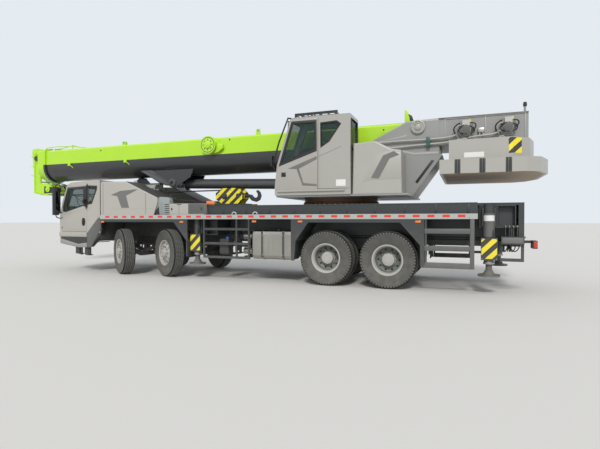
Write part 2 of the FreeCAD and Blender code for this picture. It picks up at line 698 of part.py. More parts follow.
def carrier_cab():
    shell = cab1_body().cut(cab1_hollow())
    openings = []
    for sign in (1, -1):
        y0, y1 = sorted((sign * (CAB1_HALF - CAB_WALL - RUN), sign * (CAB1_HALF + 1)))
        openings.append(side_plate(offset(CAB1_DOOR, RUN), y0, y1))
        openings.append(side_plate(CAB1_QUARTER, y0, y1))
    shell = shell.cut(openings).cut(windscreen_cut()).cut(frame_tunnel())
    rear_window = box(CAB1_REAR_X - 10, CAB1_REAR_X + CAB_WALL + 10, -700, 700, 1950, 2330)
    shell = shell.cut(rear_window)
    shell = max(shell.Solids, key=lambda s: s.Volume)
    brackets = [hinge_bracket(z) for z in DOOR_HINGE_Z]
    shell = join(shell, *brackets, *[flipped(bracket) for bracket in brackets])
    pieces["carrier_cab_shell"] = set_of(shell)

    glass_y = (CAB1_HALF - 24, CAB1_HALF - 18)
    quarter = side_plate(offset(CAB1_QUARTER, -SEAT), *glass_y)
    rear = box(CAB1_REAR_X + 16, CAB1_REAR_X + 22, -700 + SEAT, 700 - SEAT, 1950 + SEAT, 2330 - SEAT)
    top_z = SCREEN_TOP_Z - SEAT
    low_z = SCREEN_LOW_Z + SEAT
    half = SCREEN_HALF - SEAT
    screen = side_plate([(9007, top_z), (9001, top_z), (9217, low_z), (9223, low_z)], -half, half)
    pieces["carrier_cab_glass"] = set_of(quarter, flipped(quarter), rear, screen)

    door = side_plate(CAB1_DOOR, CAB1_HALF - CAB_WALL, CAB1_HALF)
    door = door.cut(side_plate(CAB1_DOOR_WINDOW, CAB1_HALF - CAB_WALL - 1, CAB1_HALF + 1))
    for z in DOOR_HINGE_Z:
        door = hinged(door, z)
    pane = side_plate(offset(CAB1_DOOR_WINDOW, -SEAT), *glass_y)
    for side, sign in (("left", 1), ("right", -1)):
        leaf = set_of(door, pane)
        pieces["carrier_door_%s" % side] = leaf if sign > 0 else flipped(leaf)


def seat(x, y, z):
    """Seat on its pedestal: cushion, leaning back and head rest in one closed form."""
    outline = [
        (x - 200, z), (x + 230, z), (x + 230, z + 330), (x + 260, z + 440), (x - 140, z + 410),
        (x - 270, z + 960), (x - 370, z + 960), (x - 270, z + 320), (x - 200, z + 300),
    ]
    return side_plate(outline, y - 230, y + 230)


def carrier_interior():
    """Floor mat, two seats, the dash and the steering wheel, as one fitting."""
    z = CAB1_FLOOR_Z
    y = CAB1_SEAT_Y
    mat_half = CAB1_HALF - 100
    dash_half = CAB1_HALF - 150
    mat = box(7900, 9200, -mat_half, mat_half, z + SEAT, z + 20)
    seats = [seat(8350, y, z + 10), seat(8350, -y, z + 10)]
    dash = side_plate([
        (9020, z + 10), (9200, z + 10), (9260, 1560), (9180, 1790), (8960, 1700),
    ], -dash_half, dash_half)
    column = rod((8990, y, 1680), (8786, y, 1843), 30.0)
    wheel = ring_wheel(8790, y, 1840, 210.0, (-0.62, 0, 0.5))
    pieces["carrier_cab_interior"] = set_of(join(mat, *seats, dash, column, wheel))


def ring_wheel(x, y, z, radius, axis):
    """Steering wheel: flat ring with a hub bar."""
    axis = V(*axis)
    axis.normalize()
    outer = Part.makeCylinder(radius, 26.0, V(x, y, z), axis)
    hole = Part.makeCylinder(radius - 30.0, 40.0, V(x, y, z) - axis * 5, axis)
    bar = Part.makeBox(40, 2 * radius - 40, 20, V(-20, -radius + 20, 0))
    bar.Placement = FreeCAD.Placement(V(x, y, z), FreeCAD.Rotation(Z_DIR, axis))
    return join(outer.cut(hole), bar)


def cab_fittings():
    """Bumper with its steps, sill panels behind the doors, and mirrors on arms."""
    half = CAB1_HALF
    front = CAB1_FRONT_X - 10
    lower = plan_plate([
        (8300, half - 10), (9210, half - 10), (9390, half - 100), (front, half - 260),
        (front, 260 - half), (9390, 100 - half), (9210, 10 - half), (8300, 10 - half),
        (8300, 170 - half), (9150, 170 - half), (9330, 340 - half), (9330, half - 340),
        (9150, half - 170), (8300, half - 170),
    ], 700, 930 - SEAT)
    slope = side_plate([(8290, 690), (9500, 900), (9500, 600), (8290, 600)], -half - 100, half + 100)
    sill = side_plate([
        (7804, 1500), (7765, 1480), (7745, 1180), (7780, 1060), (8190, 704), (8294, 704), (8294, CAB_SEAT_Z),
        (7804, CAB_SEAT_Z),
    ], half - 150, half)
    hanger_x = (FRAME_FRONT_X + SEAT, FRAME_FRONT_X + 440)
    hanger = box(*hanger_x, FRAME_HALF - RAIL_THICK, FRAME_HALF, RAIL_BOTTOM_Z, 930 - SEAT)
    bumper = join(lower.cut(slope), sill, flipped(sill), hanger, flipped(hanger))
    steps = []
    for x, z in ((8520.0, 500.0), (8210.0, 470.0)):
        steps.append(box(x, x + 90, half - 140, half - 10, z, z + 25))
        steps.append(box(x + 20, x + 60, half - 100, half - 60, 480, 760))
    bumper = join(bumper, *steps, *[flipped(step) for step in steps])
    mirror_head = box(9225, 9310, half + 70, half + 245, 1590, 2380)
    mirror_head = mirror_head.makeFillet(25.0, [e for e in mirror_head.Edges if e.BoundBox.ZLength > 500])
    arm = box(9245, 9275, half - 150, half + 100, 1650, 1680)
    mirror_part = join(mirror_head, arm).cut(cab1_body())
    mirror_part = max(mirror_part.Solids, key=lambda s: s.Volume)
    pieces["cab_fittings"] = set_of(bumper, mirror_part, flipped(mirror_part))


# Outrigger beams and jacks

BEAM_WALL = 14.0


def outer_beam(x, z0, z1):
    """Box beam that slides in the cross box, open at both ends."""
    half = BEAM_WIDTH / 2
    beam = box(x - half, x + half, -900, BOX_HALF + 8, z0, z1)
    half -= BEAM_WALL
    return beam.cut(box(x - half, x + half, -950, BOX_HALF + 20, z0 + BEAM_WALL, z1 - BEAM_WALL))


def inner_beam(x, z0, z1, jack_top):
    """Beam that slides in the outer one, with the jack's tube and its stripe board at the end."""
    half = BEAM_WIDTH / 2 - BEAM_WALL - RUN
    beam = box(x - half, x + half, -880, JACK_Y - 10, z0 + BEAM_WALL + SEAT, z1 - BEAM_WALL - RUN)
    tube = rod((x, JACK_Y, JACK_BOTTOM_Z), (x, JACK_Y, jack_top), JACK_R)
    bore = rod((x, JACK_Y, JACK_BOTTOM_Z - 10), (x, JACK_Y, jack_top - 120), JACK_ROD_R + PIN_GAP)
    board = box(x - 150, x + 150, JACK_Y + JACK_R - 6, JACK_Y + JACK_R + 20, 670, 1110)
    ears = box(x - 40, x + 40, JACK_Y + 10, JACK_Y + JACK_R, 700, 1080)
    return join(beam, tube, board, ears).cut(bore)


def jack_foot(x, jack_top):
    """Jack's rod with its pad on a cone."""
    stem = rod((x, JACK_Y, PAD_Z + 60), (x, JACK_Y, jack_top - 140), JACK_ROD_R)
    pad = rod((x, JACK_Y, PAD_Z), (x, JACK_Y, PAD_Z + 35), PAD_R)
    boss = Part.makeCone(120.0, JACK_ROD_R + 10, 90.0, V(x, JACK_Y, PAD_Z + 30), Z_DIR)
    return join(stem, pad, boss)


def outrigger_arms():
    for end, spec in OUTRIGGERS.items():
        z0 = spec["z0"] + BOX_WALL + SEAT
        z1 = spec["z1"] - BOX_WALL - RUN
        for side, sign in (("left", 1), ("right", -1)):
            x = spec["x"] if sign > 0 else spec["x"] - BEAM_PITCH
            made = {
                "outrigger_outer_": outer_beam(x, z0, z1),
                "outrigger_inner_": inner_beam(x, z0, z1, spec["z1"]),
                "jack_foot_": jack_foot(x, spec["z1"]),
            }
            for key, shape in made.items():
                pieces["%s%s_%s" % (key, end, side)] = set_of(shape if sign > 0 else flipped(shape))


# Superstructure

TURNTABLE_SIDE = [
    (2300, FLOOR_Z), (2300, 2200), (2180, 2520), (1900, 2560), (1300, 2560), (450, 3230), (-290, 3630),
    (-990, 3650), (-990, 2900), (-1060, 2860), (-420, FLOOR_Z),
]


def at_pivot(y0, y1, radius):
    """Round on the boom's pivot axis, from y0 to y1."""
    return rod((BOOM_PIVOT_X, y0, BOOM_PIVOT_Z), (BOOM_PIVOT_X, y1, BOOM_PIVOT_Z), radius)


def turntable():
    """Floor on the slew ring, with the two tall side plates that carry the boom's pivot."""
    floor = rod((SLEW_X, 0, FLOOR_Z), (SLEW_X, 0, FLOOR_TOP_Z), 1050.0)
    wings = box(-420, 2520, -1320, 1340, FLOOR_Z + 5, FLOOR_TOP_Z)
    plate = side_plate(TURNTABLE_SIDE, PLATE_Y, PLATE_Y + PLATE_THICK)
    plate = join(plate, at_pivot(PLATE_Y - 40, PLATE_Y + PLATE_THICK + 30, 150.0))
    bore = at_pivot(-900, 900, PIVOT_PIN_R + PIN_GAP)
    back = side_plate([
        (-420, FLOOR_Z), (-1060, 2860), (-1000, 2880), (-340, FLOOR_Z),
    ], -PLATE_Y - 5, PLATE_Y + 5)
    foot_ears = side_plate([(1780, FLOOR_Z + 20), (1860, 2520), (2140, 2520), (2280, FLOOR_Z + 20)], 140, 190)
    foot_pin = rod((CYL_FOOT_X, -190, CYL_FOOT_Z), (CYL_FOOT_X, 190, CYL_FOOT_Z), 55.0)
    frame = join(floor, wings, plate, flipped(plate), back, foot_ears, flipped(foot_ears), foot_pin)
    return frame.cut(bore)


def winch_frame():
    z0, z1 = WINCH_FRAME_Z
    side = side_plate([(-985, z0), (-985, z1), (-2710, z1), (-2710, z0)], PLATE_Y, PLATE_Y + 40)
    flange = box(-2710, -985, PLATE_Y - 10, PLATE_Y + 75, z1 - 12, z1)
    rear = box(-2710, -2670, -PLATE_Y - 5, PLATE_Y + 5, z0, z1 - 60)
    floor = box(-2710, -985, -PLATE_Y - 5, PLATE_Y + 5, z0, z0 + 22)
    mast = rod((-2644, 590, z1 - 5), (-2644, 590, z1 + 110), 22.0)
    return join(side, flipped(side), flange, flipped(flange), rear, floor, mast)


def winch_drums():
    """Two flanged drums, each with its motor outboard and a valve on the motor."""
    parts = []
    z = WINCH_Z
    for x in WINCH_X:
        drum_outline = [
            (60, -540), (60, 540), (250, 540), (250, 515), (190, 515), (190, -515), (250, -515), (250, -540),
        ]
        drum = ring_turned(drum_outline, x, 0, z)
        core = rod((x, -541, z), (x, 541, z), 70.0)
        motor = rod((x, 530, z), (x, 790, z), MOTOR_R)
        valve = box(x - 70, x + 70, 640, 800, z + 60, z + 190)
        parts.append(join(drum, core, motor, valve))
    return parts


def winches():
    bores = [rod((x, 500, WINCH_Z), (x, 900, WINCH_Z), MOTOR_R + SEAT) for x in WINCH_X]
    pieces["superstructure_frame"] = set_of(join(turntable(), winch_frame().cut(bores)))
    pieces["winches"] = set_of(*winch_drums())


def counterweight():
    z0, z1 = CW_LOWER_Z
    lower = plan_plate([
        (-1040, -1380), (-1040, 1380), (-2600, 1380), (-2860, 1200), (CW_REAR_X, 650), (CW_REAR_X, -650),
        (-2860, -1200), (-2600, -1380),
    ], z0, z1)
    slots = [box(x - 55, x + 55, 1330, 1400, z0 - 1, z1 + 1) for x in (-1376.0, -1827.0, -2288.0)]
    lower = lower.cut(slots + [flipped(slot) for slot in slots])
    neck = side_plate([(-1040, z1), (-1040, 2500), (-880, 2700), (-1080, 2870), (-1100, z1)], -400, 400)
    z0, z1 = CW_UPPER_Z
    upper = plan_plate([
        (-1210, -1200), (-1210, 1200), (-2380, 1200), (-2700, 900), (-2830, 400),
        (-2830, -400), (-2700, -900), (-2380, -1200),
    ], z0, z1)
    pieces["counterweight"] = set_of(lower, upper)


COVER_SIDE = [
    (745, 2000), (721, 3095), (243, 3118), (-76, 2940), (-284, 2901), (-300, 2000),
]


def covers():
    left = side_plate(COVER_SIDE, PLATE_Y + PLATE_THICK + 40, 1350)
    left = left.makeFillet(40.0, [e for e in left.Edges if outer_sloped_edge(e, 1350.0, 2500.0)])
    foot = FLOOR_TOP_Z + SEAT
    left = left.cut(box(-500, 900, 500, 1400, 1900, foot))
    right = side_plate([
        (1500, foot), (1500, 2700), (-200, 2700), (-300, 2600), (-300, foot),
    ], -1320, -PLATE_Y - PLATE_THICK)
    pieces["machine_covers"] = set_of(left, right)


CAB2_SIDE = [
    (770, FLOOR_TOP_Z + SEAT), (785, 3744), (2150, 3744), (2490, 2710), (2546, 2200),
    (2546, FLOOR_TOP_Z + SEAT),
]
CAB2_DOOR = [(1508, 2127), (1508, 3700), (2131, 3700), (2449, 2700), (2476, 2127)]
CAB2_DOOR_THICK = 34.0
CAB2_DOOR_WINDOW = [(1565, 3024), (1565, 3602), (2088, 3602), (2362, 2736)]
CAB2_DOOR_HOLE = [(1560, 2180), (1560, 3650), (2090, 3650), (2400, 2690), (2430, 2180)]
CAB2_REAR_WINDOW = [(1440, 3053), (1440, 3577), (1085, 3590), (1000, 3530), (1259, 3176)]
CAB2_FAR_WINDOW = [(1000, 2900), (1000, 3600), (2040, 3600), (2300, 2850)]
CAB2_SCREEN_CUT = [(2080, 3665), (2250, 3665), (2700, 2400), (2420, 2400)]


def operator_cab():
    outer = side_plate(CAB2_SIDE, CAB2_INNER_Y, CAB2_OUTER_Y)
    wall = CAB_WALL
    inner = side_plate([
        (770 + wall, 2060), (785 + wall, 3744 - wall), (2150 - wall, 3744 - wall), (2490 - wall, 2700),
        (2546 - wall, 2200), (2546 - wall, 2060),
    ], CAB2_INNER_Y + wall, CAB2_OUTER_Y - wall)
    shell = outer.cut(inner)
    inner_y = (CAB2_INNER_Y - 1, CAB2_INNER_Y + wall + 1)
    outer_y = (CAB2_OUTER_Y - wall - 1, CAB2_OUTER_Y + 1)
    screen_y = (CAB2_INNER_Y + 60, CAB2_OUTER_Y - 60)
    rear_y = (CAB2_INNER_Y + 110, CAB2_OUTER_Y - 110)
    rear_z = (3000, 3650)
    shell = shell.cut([
        side_plate(CAB2_DOOR_HOLE, *outer_y), side_plate(CAB2_REAR_WINDOW, *outer_y),
        side_plate(CAB2_FAR_WINDOW, *inner_y), side_plate(CAB2_SCREEN_CUT, *screen_y),
        box(700, 900, *rear_y, *rear_z),
    ])
    shell = max(shell.Solids, key=lambda s: s.Volume)

    pane = 6.0
    side_y = CAB2_OUTER_Y - 22
    side = side_plate(offset(CAB2_REAR_WINDOW, -SEAT), side_y, side_y + pane)
    far_y = CAB2_INNER_Y + 16
    far = side_plate(offset(CAB2_FAR_WINDOW, -SEAT), far_y, far_y + pane)
    front = side_plate([
        (2137, 3665 - SEAT), (2143, 3665 - SEAT), (2476, 2705), (2506, 2400 + SEAT), (2500, 2400 + SEAT),
        (2470, 2705),
    ], screen_y[0] + SEAT, screen_y[1] - SEAT)
    back = box(796, 802, rear_y[0] + SEAT, rear_y[1] - SEAT, rear_z[0] + SEAT, rear_z[1] - SEAT)
    pieces["operator_cab_glass"] = set_of(side, far, front, back)

    y0 = CAB2_OUTER_Y + RUN
    door = side_plate(CAB2_DOOR, y0, y0 + CAB2_DOOR_THICK)
    hole = side_plate(CAB2_DOOR_WINDOW, y0 - 1, y0 + 40)
    glass = side_plate(offset(CAB2_DOOR_WINDOW, -SEAT), y0 + 14, y0 + 20)
    pieces["operator_door"] = set_of(door.cut(hole), glass)

    rail = box(900, 2476, CAB2_OUTER_Y - 2, y0 + CAB2_DOOR_THICK, 2090, 2127 - SEAT)
    bar_y = (CAB2_INNER_Y + 80, CAB2_OUTER_Y - 60)
    bar_x = (1100.0, 1300.0, 1500.0, 1700.0, 1900.0, 2040.0)
    rack_bars = [box(x, x + 26, *bar_y, 3800, 3820) for x in bar_x]
    rack_sides = []
    for y in (CAB2_INNER_Y + 70, CAB2_OUTER_Y - 90):
        bow = box(1080, 2080, y, y + 26, 3744, 3850)
        rack_sides.append(bow.cut(box(1120, 2040, y - 1, y + 27, 3700, 3795)))
    pieces["operator_cab_shell"] = set_of(join(shell, *rack_sides, *rack_bars, rail))


def operator_interior():
    z = 2060.0
    y = (CAB2_INNER_Y + CAB2_OUTER_Y) / 2
    chair = seat(1300, y, z + SEAT)
    console = box(1150, 1650, y - 320, y - 240, z + SEAT, z + 560)
    console_r = box(1150, 1650, y + 240, y + 320, z + SEAT, z + 560)
    base = box(1050, 1700, y - 320, y + 320, z + SEAT, z + 40)
    levers = [rod((1600, y + side * 280, z + 550), (1600, y + side * 280, z + 700), 12.0) for side in (-1, 1)]
    pieces["operator_cab_interior"] = set_of(join(base, chair, console, console_r, *levers))


# Boom

def boom_outline(inset, x0, x1, grow=0.0):
    """Boom section: flat top with eased corners over a half-round bottom."""
    half = BOOM_HALF - inset + grow
    top = BOOM_TOP_Z - inset + grow
    centre = BOOM_BOTTOM_Z + BOOM_HALF
    ease = 50.0
    arc = Part.Arc(V(x0, half, centre), V(x0, 0, centre - half), V(x0, -half, centre)).toShape()
    corners = [
        (-half, centre), (-half, top - ease), (-half + ease, top), (half - ease, top), (half, top - ease),
        (half, centre),
    ]
    points = [V(x0, y, z) for y, z in corners]
    lines = [Part.LineSegment(a, b).toShape() for a, b in zip(points, points[1:])]
    return Part.Face(Part.Wire([arc] + lines)).extrude(V(x1 - x0, 0, 0))


def boom_tube(inset, x0, x1):
    bore = boom_outline(inset + BOOM_WALL, x0 - 1, x1 + 1)
    return boom_outline(inset, x0, x1).cut(bore)


def slide_pads(inset, x1):
    """Pads at a section's mouth, under and over the next section, which slides between them."""
    ring = boom_outline(inset + BOOM_WALL - 2, x1 - 160, x1)
    ring = ring.cut(boom_outline(inset + BOOM_WALL + SECTION_GAP, x1 - 170, x1 + 10, SEAT))
    return [ring.common(box(x1 - 170, x1 + 10, -150, 150, z0, z0 + 1500)) for z0 in (1650.0, 3300.0)]


def boom_base():
    tube = boom_tube(0.0, BOOM_REAR_X, BOOM_FRONT_X)
    bore = boom_outline(BOOM_WALL, BOOM_REAR_X, BOOM_FRONT_X + 200)
    collar = boom_outline(0.0, BOOM_FRONT_X, BOOM_FRONT_X + COLLAR_LENGTH, 45.0).cut(bore)
    tail_cut = box(BOOM_REAR_X - 100, BOOM_PIVOT_X, -600, 600, BOOM_BOTTOM_Z - 100, BOOM_PIVOT_Z)
    tail_cut = tail_cut.cut(at_pivot(-600, 600, BOOM_PIVOT_Z - BOOM_BOTTOM_Z))
    tail = boom_outline(0.0, BOOM_REAR_X, BOOM_REAR_X + 25)
    hub = at_pivot(46 - PLATE_Y, PLATE_Y - 46, 125.0)
    pin_end = PLATE_Y + PLATE_THICK + 45
    pin = at_pivot(-pin_end, pin_end, PIVOT_PIN_R)
    bracket = side_plate([
        (7480, 3010), (7045, 2802), (6215, 2420), (6120, 2310), (5990, 2400), (5560, 2640), (5400, 3010),
    ], 300, 335)
    bracket = bracket.cut(bore)
    lugs = [box(x - 20, x + 20, 250, 330, BOOM_TOP_Z - 5, BOOM_TOP_Z + 105) for x in BOOM_LUGS_X]
    reel = ring_turned([
        (0, 0), (200, 0), (200, 14), (150, 14), (150, 110), (205, 110), (205, 130), (60, 130), (60, 170),
        (0, 170),
    ], REEL_X, BOOM_HALF - 1, REEL_Z)
    pads = slide_pads(0.0, BOOM_FRONT_X)
    base = join(tube, collar, tail, hub, pin, bracket, flipped(bracket), reel, *lugs, *pads)
    pieces["boom_base"] = set_of(base.cut(tail_cut))


def boom_sections():
    """Four inner sections, each with a collar in front of the last one's."""
    step = BOOM_WALL + SECTION_GAP
    for index in (1, 2, 3):
        inset = step * index
        x1 = BOOM_FRONT_X + (COLLAR_LENGTH + COLLAR_GAP) * (index + 1) - COLLAR_GAP
        x0 = BOOM_REAR_X + 60 + 60 * index
        tube = boom_tube(inset, x0 + 300, x1)
        collar = boom_outline(0.0, x1 - COLLAR_LENGTH, x1, 38.0 - 8 * index)
        collar = collar.cut(boom_outline(inset + BOOM_WALL, x0, x1 + 10))
        pieces["boom_section_%d" % (index + 1)] = set_of(join(tube, collar, *slide_pads(inset, x1 - 2)))
    inset = step * 4
    collar_x = BOOM_FRONT_X + (COLLAR_LENGTH + COLLAR_GAP) * 4
    tube = boom_tube(inset, BOOM_REAR_X + 600, collar_x + 40)
    cap = boom_outline(0.0, collar_x, collar_x + 40, 4.0)
    head = side_plate([
        (collar_x, 3700), (collar_x + 120, 3760), (HEAD_FRONT_X - 30, 3740), (HEAD_FRONT_X, 3650),
        (HEAD_FRONT_X - 70, 2950), (HEAD_FRONT_X - 70, 2320), (HEAD_FRONT_X - 480, 2240),
        (HEAD_FRONT_X - 930, 2290), (HEAD_FRONT_X - 930, 2460), (HEAD_FRONT_X - 680, 2620), (collar_x, 2620),
    ], *HEAD_Y)
    rollers = [sheave_pack(TOP_SHEAVES), sheave_pack(LOW_SHEAVES)]
    pieces["boom_section_5"] = set_of(join(tube, cap, head, flipped(head), *rollers))


def sheave_pack(spec):
    """Row of sheaves between the head's cheeks, a groove apart, with the shaft through both cheeks."""
    radius = spec["radius"]
    half = HEAD_Y[0] - 3
    pitch = (2 * half + GROOVE_WIDTH) / HEAD_SHEAVES
    outline = [(0.0, -half)]
    for index in range(HEAD_SHEAVES):
        y = -half + pitch * index
        rim_end = y + pitch - GROOVE_WIDTH
        outline += [(radius, y), (radius, rim_end)]
        if index < HEAD_SHEAVES - 1:
            outline += [(radius - GROOVE_DEPTH, rim_end), (radius - GROOVE_DEPTH, y + pitch)]
    outline += [(0.0, half)]
    sheaves = ring_turned(outline, spec["x"], 0, spec["z"])
    shaft = rod((spec["x"], -HEAD_Y[1], spec["z"]), (spec["x"], HEAD_Y[1], spec["z"]), 40.0)
    return join(sheaves, shaft)


def luffing_cylinder():
    dx = CYL_EYE_X - CYL_FOOT_X
    dz = CYL_EYE_Z - CYL_FOOT_Z
    length = math.hypot(dx, dz)
    ux, uz = dx / length, dz / length

    def along(distance):
        return (CYL_FOOT_X + ux * distance, 0, CYL_FOOT_Z + uz * distance)

    mouth = length - 260.0
    barrel = rod(along(120), along(mouth), BARREL_R)
    foot = rod((CYL_FOOT_X, -130, CYL_FOOT_Z), (CYL_FOOT_X, 130, CYL_FOOT_Z), 130.0)
    neck = rod(along(40), along(140), 120.0)
    foot_bore = rod((CYL_FOOT_X, -140, CYL_FOOT_Z), (CYL_FOOT_X, 140, CYL_FOOT_Z), 55.0 + PIN_GAP)
    bore = rod(along(240), along(mouth + 10), ROD_R + PIN_GAP)
    pieces["luffing_barrel"] = set_of(join(barrel, foot, neck).cut([foot_bore, bore]))
    piston_rod = rod(along(250), along(length - 60), ROD_R)
    eye = rod((CYL_EYE_X, -140, CYL_EYE_Z), (CYL_EYE_X, 140, CYL_EYE_Z), 115.0)
    pin = rod((CYL_EYE_X, -280, CYL_EYE_Z), (CYL_EYE_X, 280, CYL_EYE_Z), 55.0)
    pieces["luffing_rod"] = set_of(join(piston_rod, eye, pin))


HOOK_X0 = 3790.0
HOOK_X1 = 4650.0
HOOK_Y0 = 155.0
HOOK_Y1 = 495.0
HOOK_Z0 = 1880.0
HOOK_Z1 = 2285.0


def hook_block():
    """Block laid on its cheeks' edge, sheaves between the cheeks and the hook to the rear."""
    middle = (HOOK_Z0 + HOOK_Z1) / 2
    cheek = side_plate([
        (HOOK_X0 + 60, HOOK_Z0 + 130), (HOOK_X0 + 180, HOOK_Z0), (HOOK_X1 - 200, HOOK_Z0),
        (HOOK_X1, HOOK_Z0 + 120), (HOOK_X1, HOOK_Z1 - 120), (HOOK_X1 - 200, HOOK_Z1),
        (HOOK_X0 + 180, HOOK_Z1), (HOOK_X0 + 60, HOOK_Z1 - 130),
    ], HOOK_Y0, HOOK_Y0 + 45)
    far = cheek.copy()
    far.translate(V(0, HOOK_Y1 - HOOK_Y0 - 45, 0))
    sheaves = rod((HOOK_X1 - 260, HOOK_Y0 + 40, middle), (HOOK_X1 - 260, HOOK_Y1 - 40, middle), 175.0)
    y = (HOOK_Y0 + HOOK_Y1) / 2
    head = box(HOOK_X0 + 80, HOOK_X0 + 200, HOOK_Y0 + 20, HOOK_Y1 - 20, middle - 70, middle + 70)
    shank = rod((HOOK_X0 - 60, y, middle), (HOOK_X0 + 100, y, middle), 42.0)
    x = HOOK_X0 - 60
    hook = side_plate([
        (x + 20, middle - 34), (x + 20, middle + 34), (x - 60, middle + 30), (x - 110, middle - 30),
        (x - 190, middle - 60), (x - 245, middle - 20), (x - 245, middle + 50), (x - 200, middle + 110),
        (x - 235, middle + 145), (x - 300, middle + 90), (x - 330, middle), (x - 290, middle - 110),
        (x - 190, middle - 160), (x - 80, middle - 130),
    ], y - 36, y + 36)
    hook = join(shank, hook)
    pieces["hook_block"] = set_of(join(cheek, far, sheaves, head, hook))


SUBPARTS = [
    front_wheels, rear_wheels, knuckles, front_axles, rear_axles, outrigger_boxes, chassis, deck, fenders,
    engine_covers, engine_and_driveline, side_tanks, guards, boom_rest, slew_ring, outrigger_controls, lamps,
    carrier_cab, carrier_interior, cab_fittings, outrigger_arms, winches, counterweight,
    covers, operator_cab, operator_interior, boom_base, boom_sections, luffing_cylinder, hook_block,
]

os.makedirs("parts", exist_ok=True)
for subpart in SUBPARTS:
    subpart()
for name, shape in pieces.items():
    shape.translate(V(-ORIGIN_X, 0, 0))
    shape.exportStep("parts/%s.step" % name)
print(len(pieces), "nodes, origin", ORIGIN_X)
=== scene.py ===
import json
import math

import bpy
from mathutils import Matrix, Vector

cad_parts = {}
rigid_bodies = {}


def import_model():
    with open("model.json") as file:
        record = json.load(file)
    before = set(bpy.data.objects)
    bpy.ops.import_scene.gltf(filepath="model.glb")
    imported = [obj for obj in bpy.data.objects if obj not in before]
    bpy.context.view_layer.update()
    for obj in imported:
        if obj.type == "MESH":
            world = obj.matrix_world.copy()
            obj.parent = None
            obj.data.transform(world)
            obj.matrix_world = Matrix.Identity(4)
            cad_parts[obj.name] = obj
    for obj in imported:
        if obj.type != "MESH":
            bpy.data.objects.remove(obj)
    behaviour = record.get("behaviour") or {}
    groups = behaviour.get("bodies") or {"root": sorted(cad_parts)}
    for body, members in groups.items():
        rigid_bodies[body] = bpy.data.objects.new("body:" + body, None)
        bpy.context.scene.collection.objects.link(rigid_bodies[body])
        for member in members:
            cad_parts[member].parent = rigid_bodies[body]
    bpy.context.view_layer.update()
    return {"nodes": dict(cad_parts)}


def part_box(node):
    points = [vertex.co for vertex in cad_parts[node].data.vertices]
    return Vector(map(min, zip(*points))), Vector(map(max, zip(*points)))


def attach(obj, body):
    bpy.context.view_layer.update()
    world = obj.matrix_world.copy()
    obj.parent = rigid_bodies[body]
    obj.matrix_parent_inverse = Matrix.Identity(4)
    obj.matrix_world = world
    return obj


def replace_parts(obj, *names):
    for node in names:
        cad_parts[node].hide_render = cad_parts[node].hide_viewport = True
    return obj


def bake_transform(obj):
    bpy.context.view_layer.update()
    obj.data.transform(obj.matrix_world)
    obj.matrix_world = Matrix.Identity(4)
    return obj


# Finish and fittings of a four-axle truck crane. Metres; X points forward, Y to the left, Z up.

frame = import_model()
NODES = frame["nodes"]

X_AXIS, Y_AXIS, Z_AXIS = Vector((1, 0, 0)), Vector((0, 1, 0)), Vector((0, 0, 1))
FULL_TURN = 2 * math.pi
FLIP = Matrix.Scale(-1, 4, Y_AXIS)
MERGE_WITHIN = 0.00005


def middle(node):
    low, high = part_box(node)
    return (low + high) / 2


AXLE_4_X = middle("wheel_4_left").x


def at(s, y, z):
    """Point given as a distance ahead of the rearmost axle, a side and a height."""
    return Vector((AXLE_4_X + s, y, z))


# Modelling steps

def rest():
    """Object mode with nothing selected."""
    if bpy.context.object and bpy.context.object.mode == "EDIT":
        bpy.ops.object.mode_set(mode="OBJECT")
    bpy.ops.object.select_all(action="DESELECT")


def only(piece):
    rest()
    piece.select_set(True)
    bpy.context.view_layer.objects.active = piece


def placed():
    """The piece just added, with its place kept in its mesh."""
    bpy.ops.object.transform_apply(location=True, rotation=True, scale=True)
    return bpy.context.object


def shaping(piece):
    """Edit mode with the whole piece selected."""
    only(piece)
    bpy.ops.object.mode_set(mode="EDIT")
    bpy.ops.mesh.select_mode(type="VERT")
    bpy.ops.mesh.select_all(action="SELECT")


def faced_out():
    """Turns the faces in hand outwards and goes back to object mode."""
    bpy.ops.mesh.select_all(action="SELECT")
    bpy.ops.mesh.normals_make_consistent(inside=False)
    rest()


def pick(piece, test):
    """Edit mode with only the faces selected whose centre passes a test."""
    shaping(piece)
    bpy.ops.mesh.select_mode(type="FACE")
    bpy.ops.mesh.select_all(action="DESELECT")
    bpy.ops.object.mode_set(mode="OBJECT")
    for face in piece.data.polygons:
        face.select = test(face.center)
    bpy.ops.object.mode_set(mode="EDIT")


def modified(piece, kind, **settings):
    """A piece with one modifier applied."""
    only(piece)
    modifier = piece.modifiers.new(kind.lower(), kind)
    for key, value in settings.items():
        setattr(modifier, key, value)
    bpy.ops.object.modifier_apply(modifier=modifier.name)
    return piece


def round_edges(piece, width, segments=2):
    """Bevel on the edges sharper than 30 degrees."""
    if width > 0:
        modified(piece, "BEVEL", width=width, segments=segments, limit_method="ANGLE", angle_limit=math.radians(30))
    return piece


def brick(s, y, z, width=0.004, segments=2):
    """Block from its three ranges, with its edges rounded."""
    low, high = at(s[0], y[0], z[0]), at(s[1], y[1], z[1])
    rest()
    bpy.ops.mesh.primitive_cube_add(size=1, location=(low + high) / 2, scale=high - low)
    return round_edges(placed(), width, segments)


def cylinder(sides, radius, depth, location=(0, 0, 0), rotation=(0, 0, 0)):
    rest()
    bpy.ops.mesh.primitive_cylinder_add(
        vertices=sides, radius=radius, depth=depth, location=location, rotation=rotation)
    return placed()


def chain(points, closed):
    """Line of vertices drawn point by point from a plane that is merged to its middle."""
    rest()
    bpy.ops.mesh.primitive_plane_add(size=0.01, location=points[0])
    piece = placed()
    shaping(piece)
    bpy.ops.mesh.merge(type="CENTER")
    for start, end in zip(points, points[1:]):
        bpy.ops.mesh.extrude_region_move(TRANSFORM_OT_translate={"value": end - start})
    if closed:
        bpy.ops.mesh.select_all(action="SELECT")
        bpy.ops.mesh.edge_face_add()
    return piece


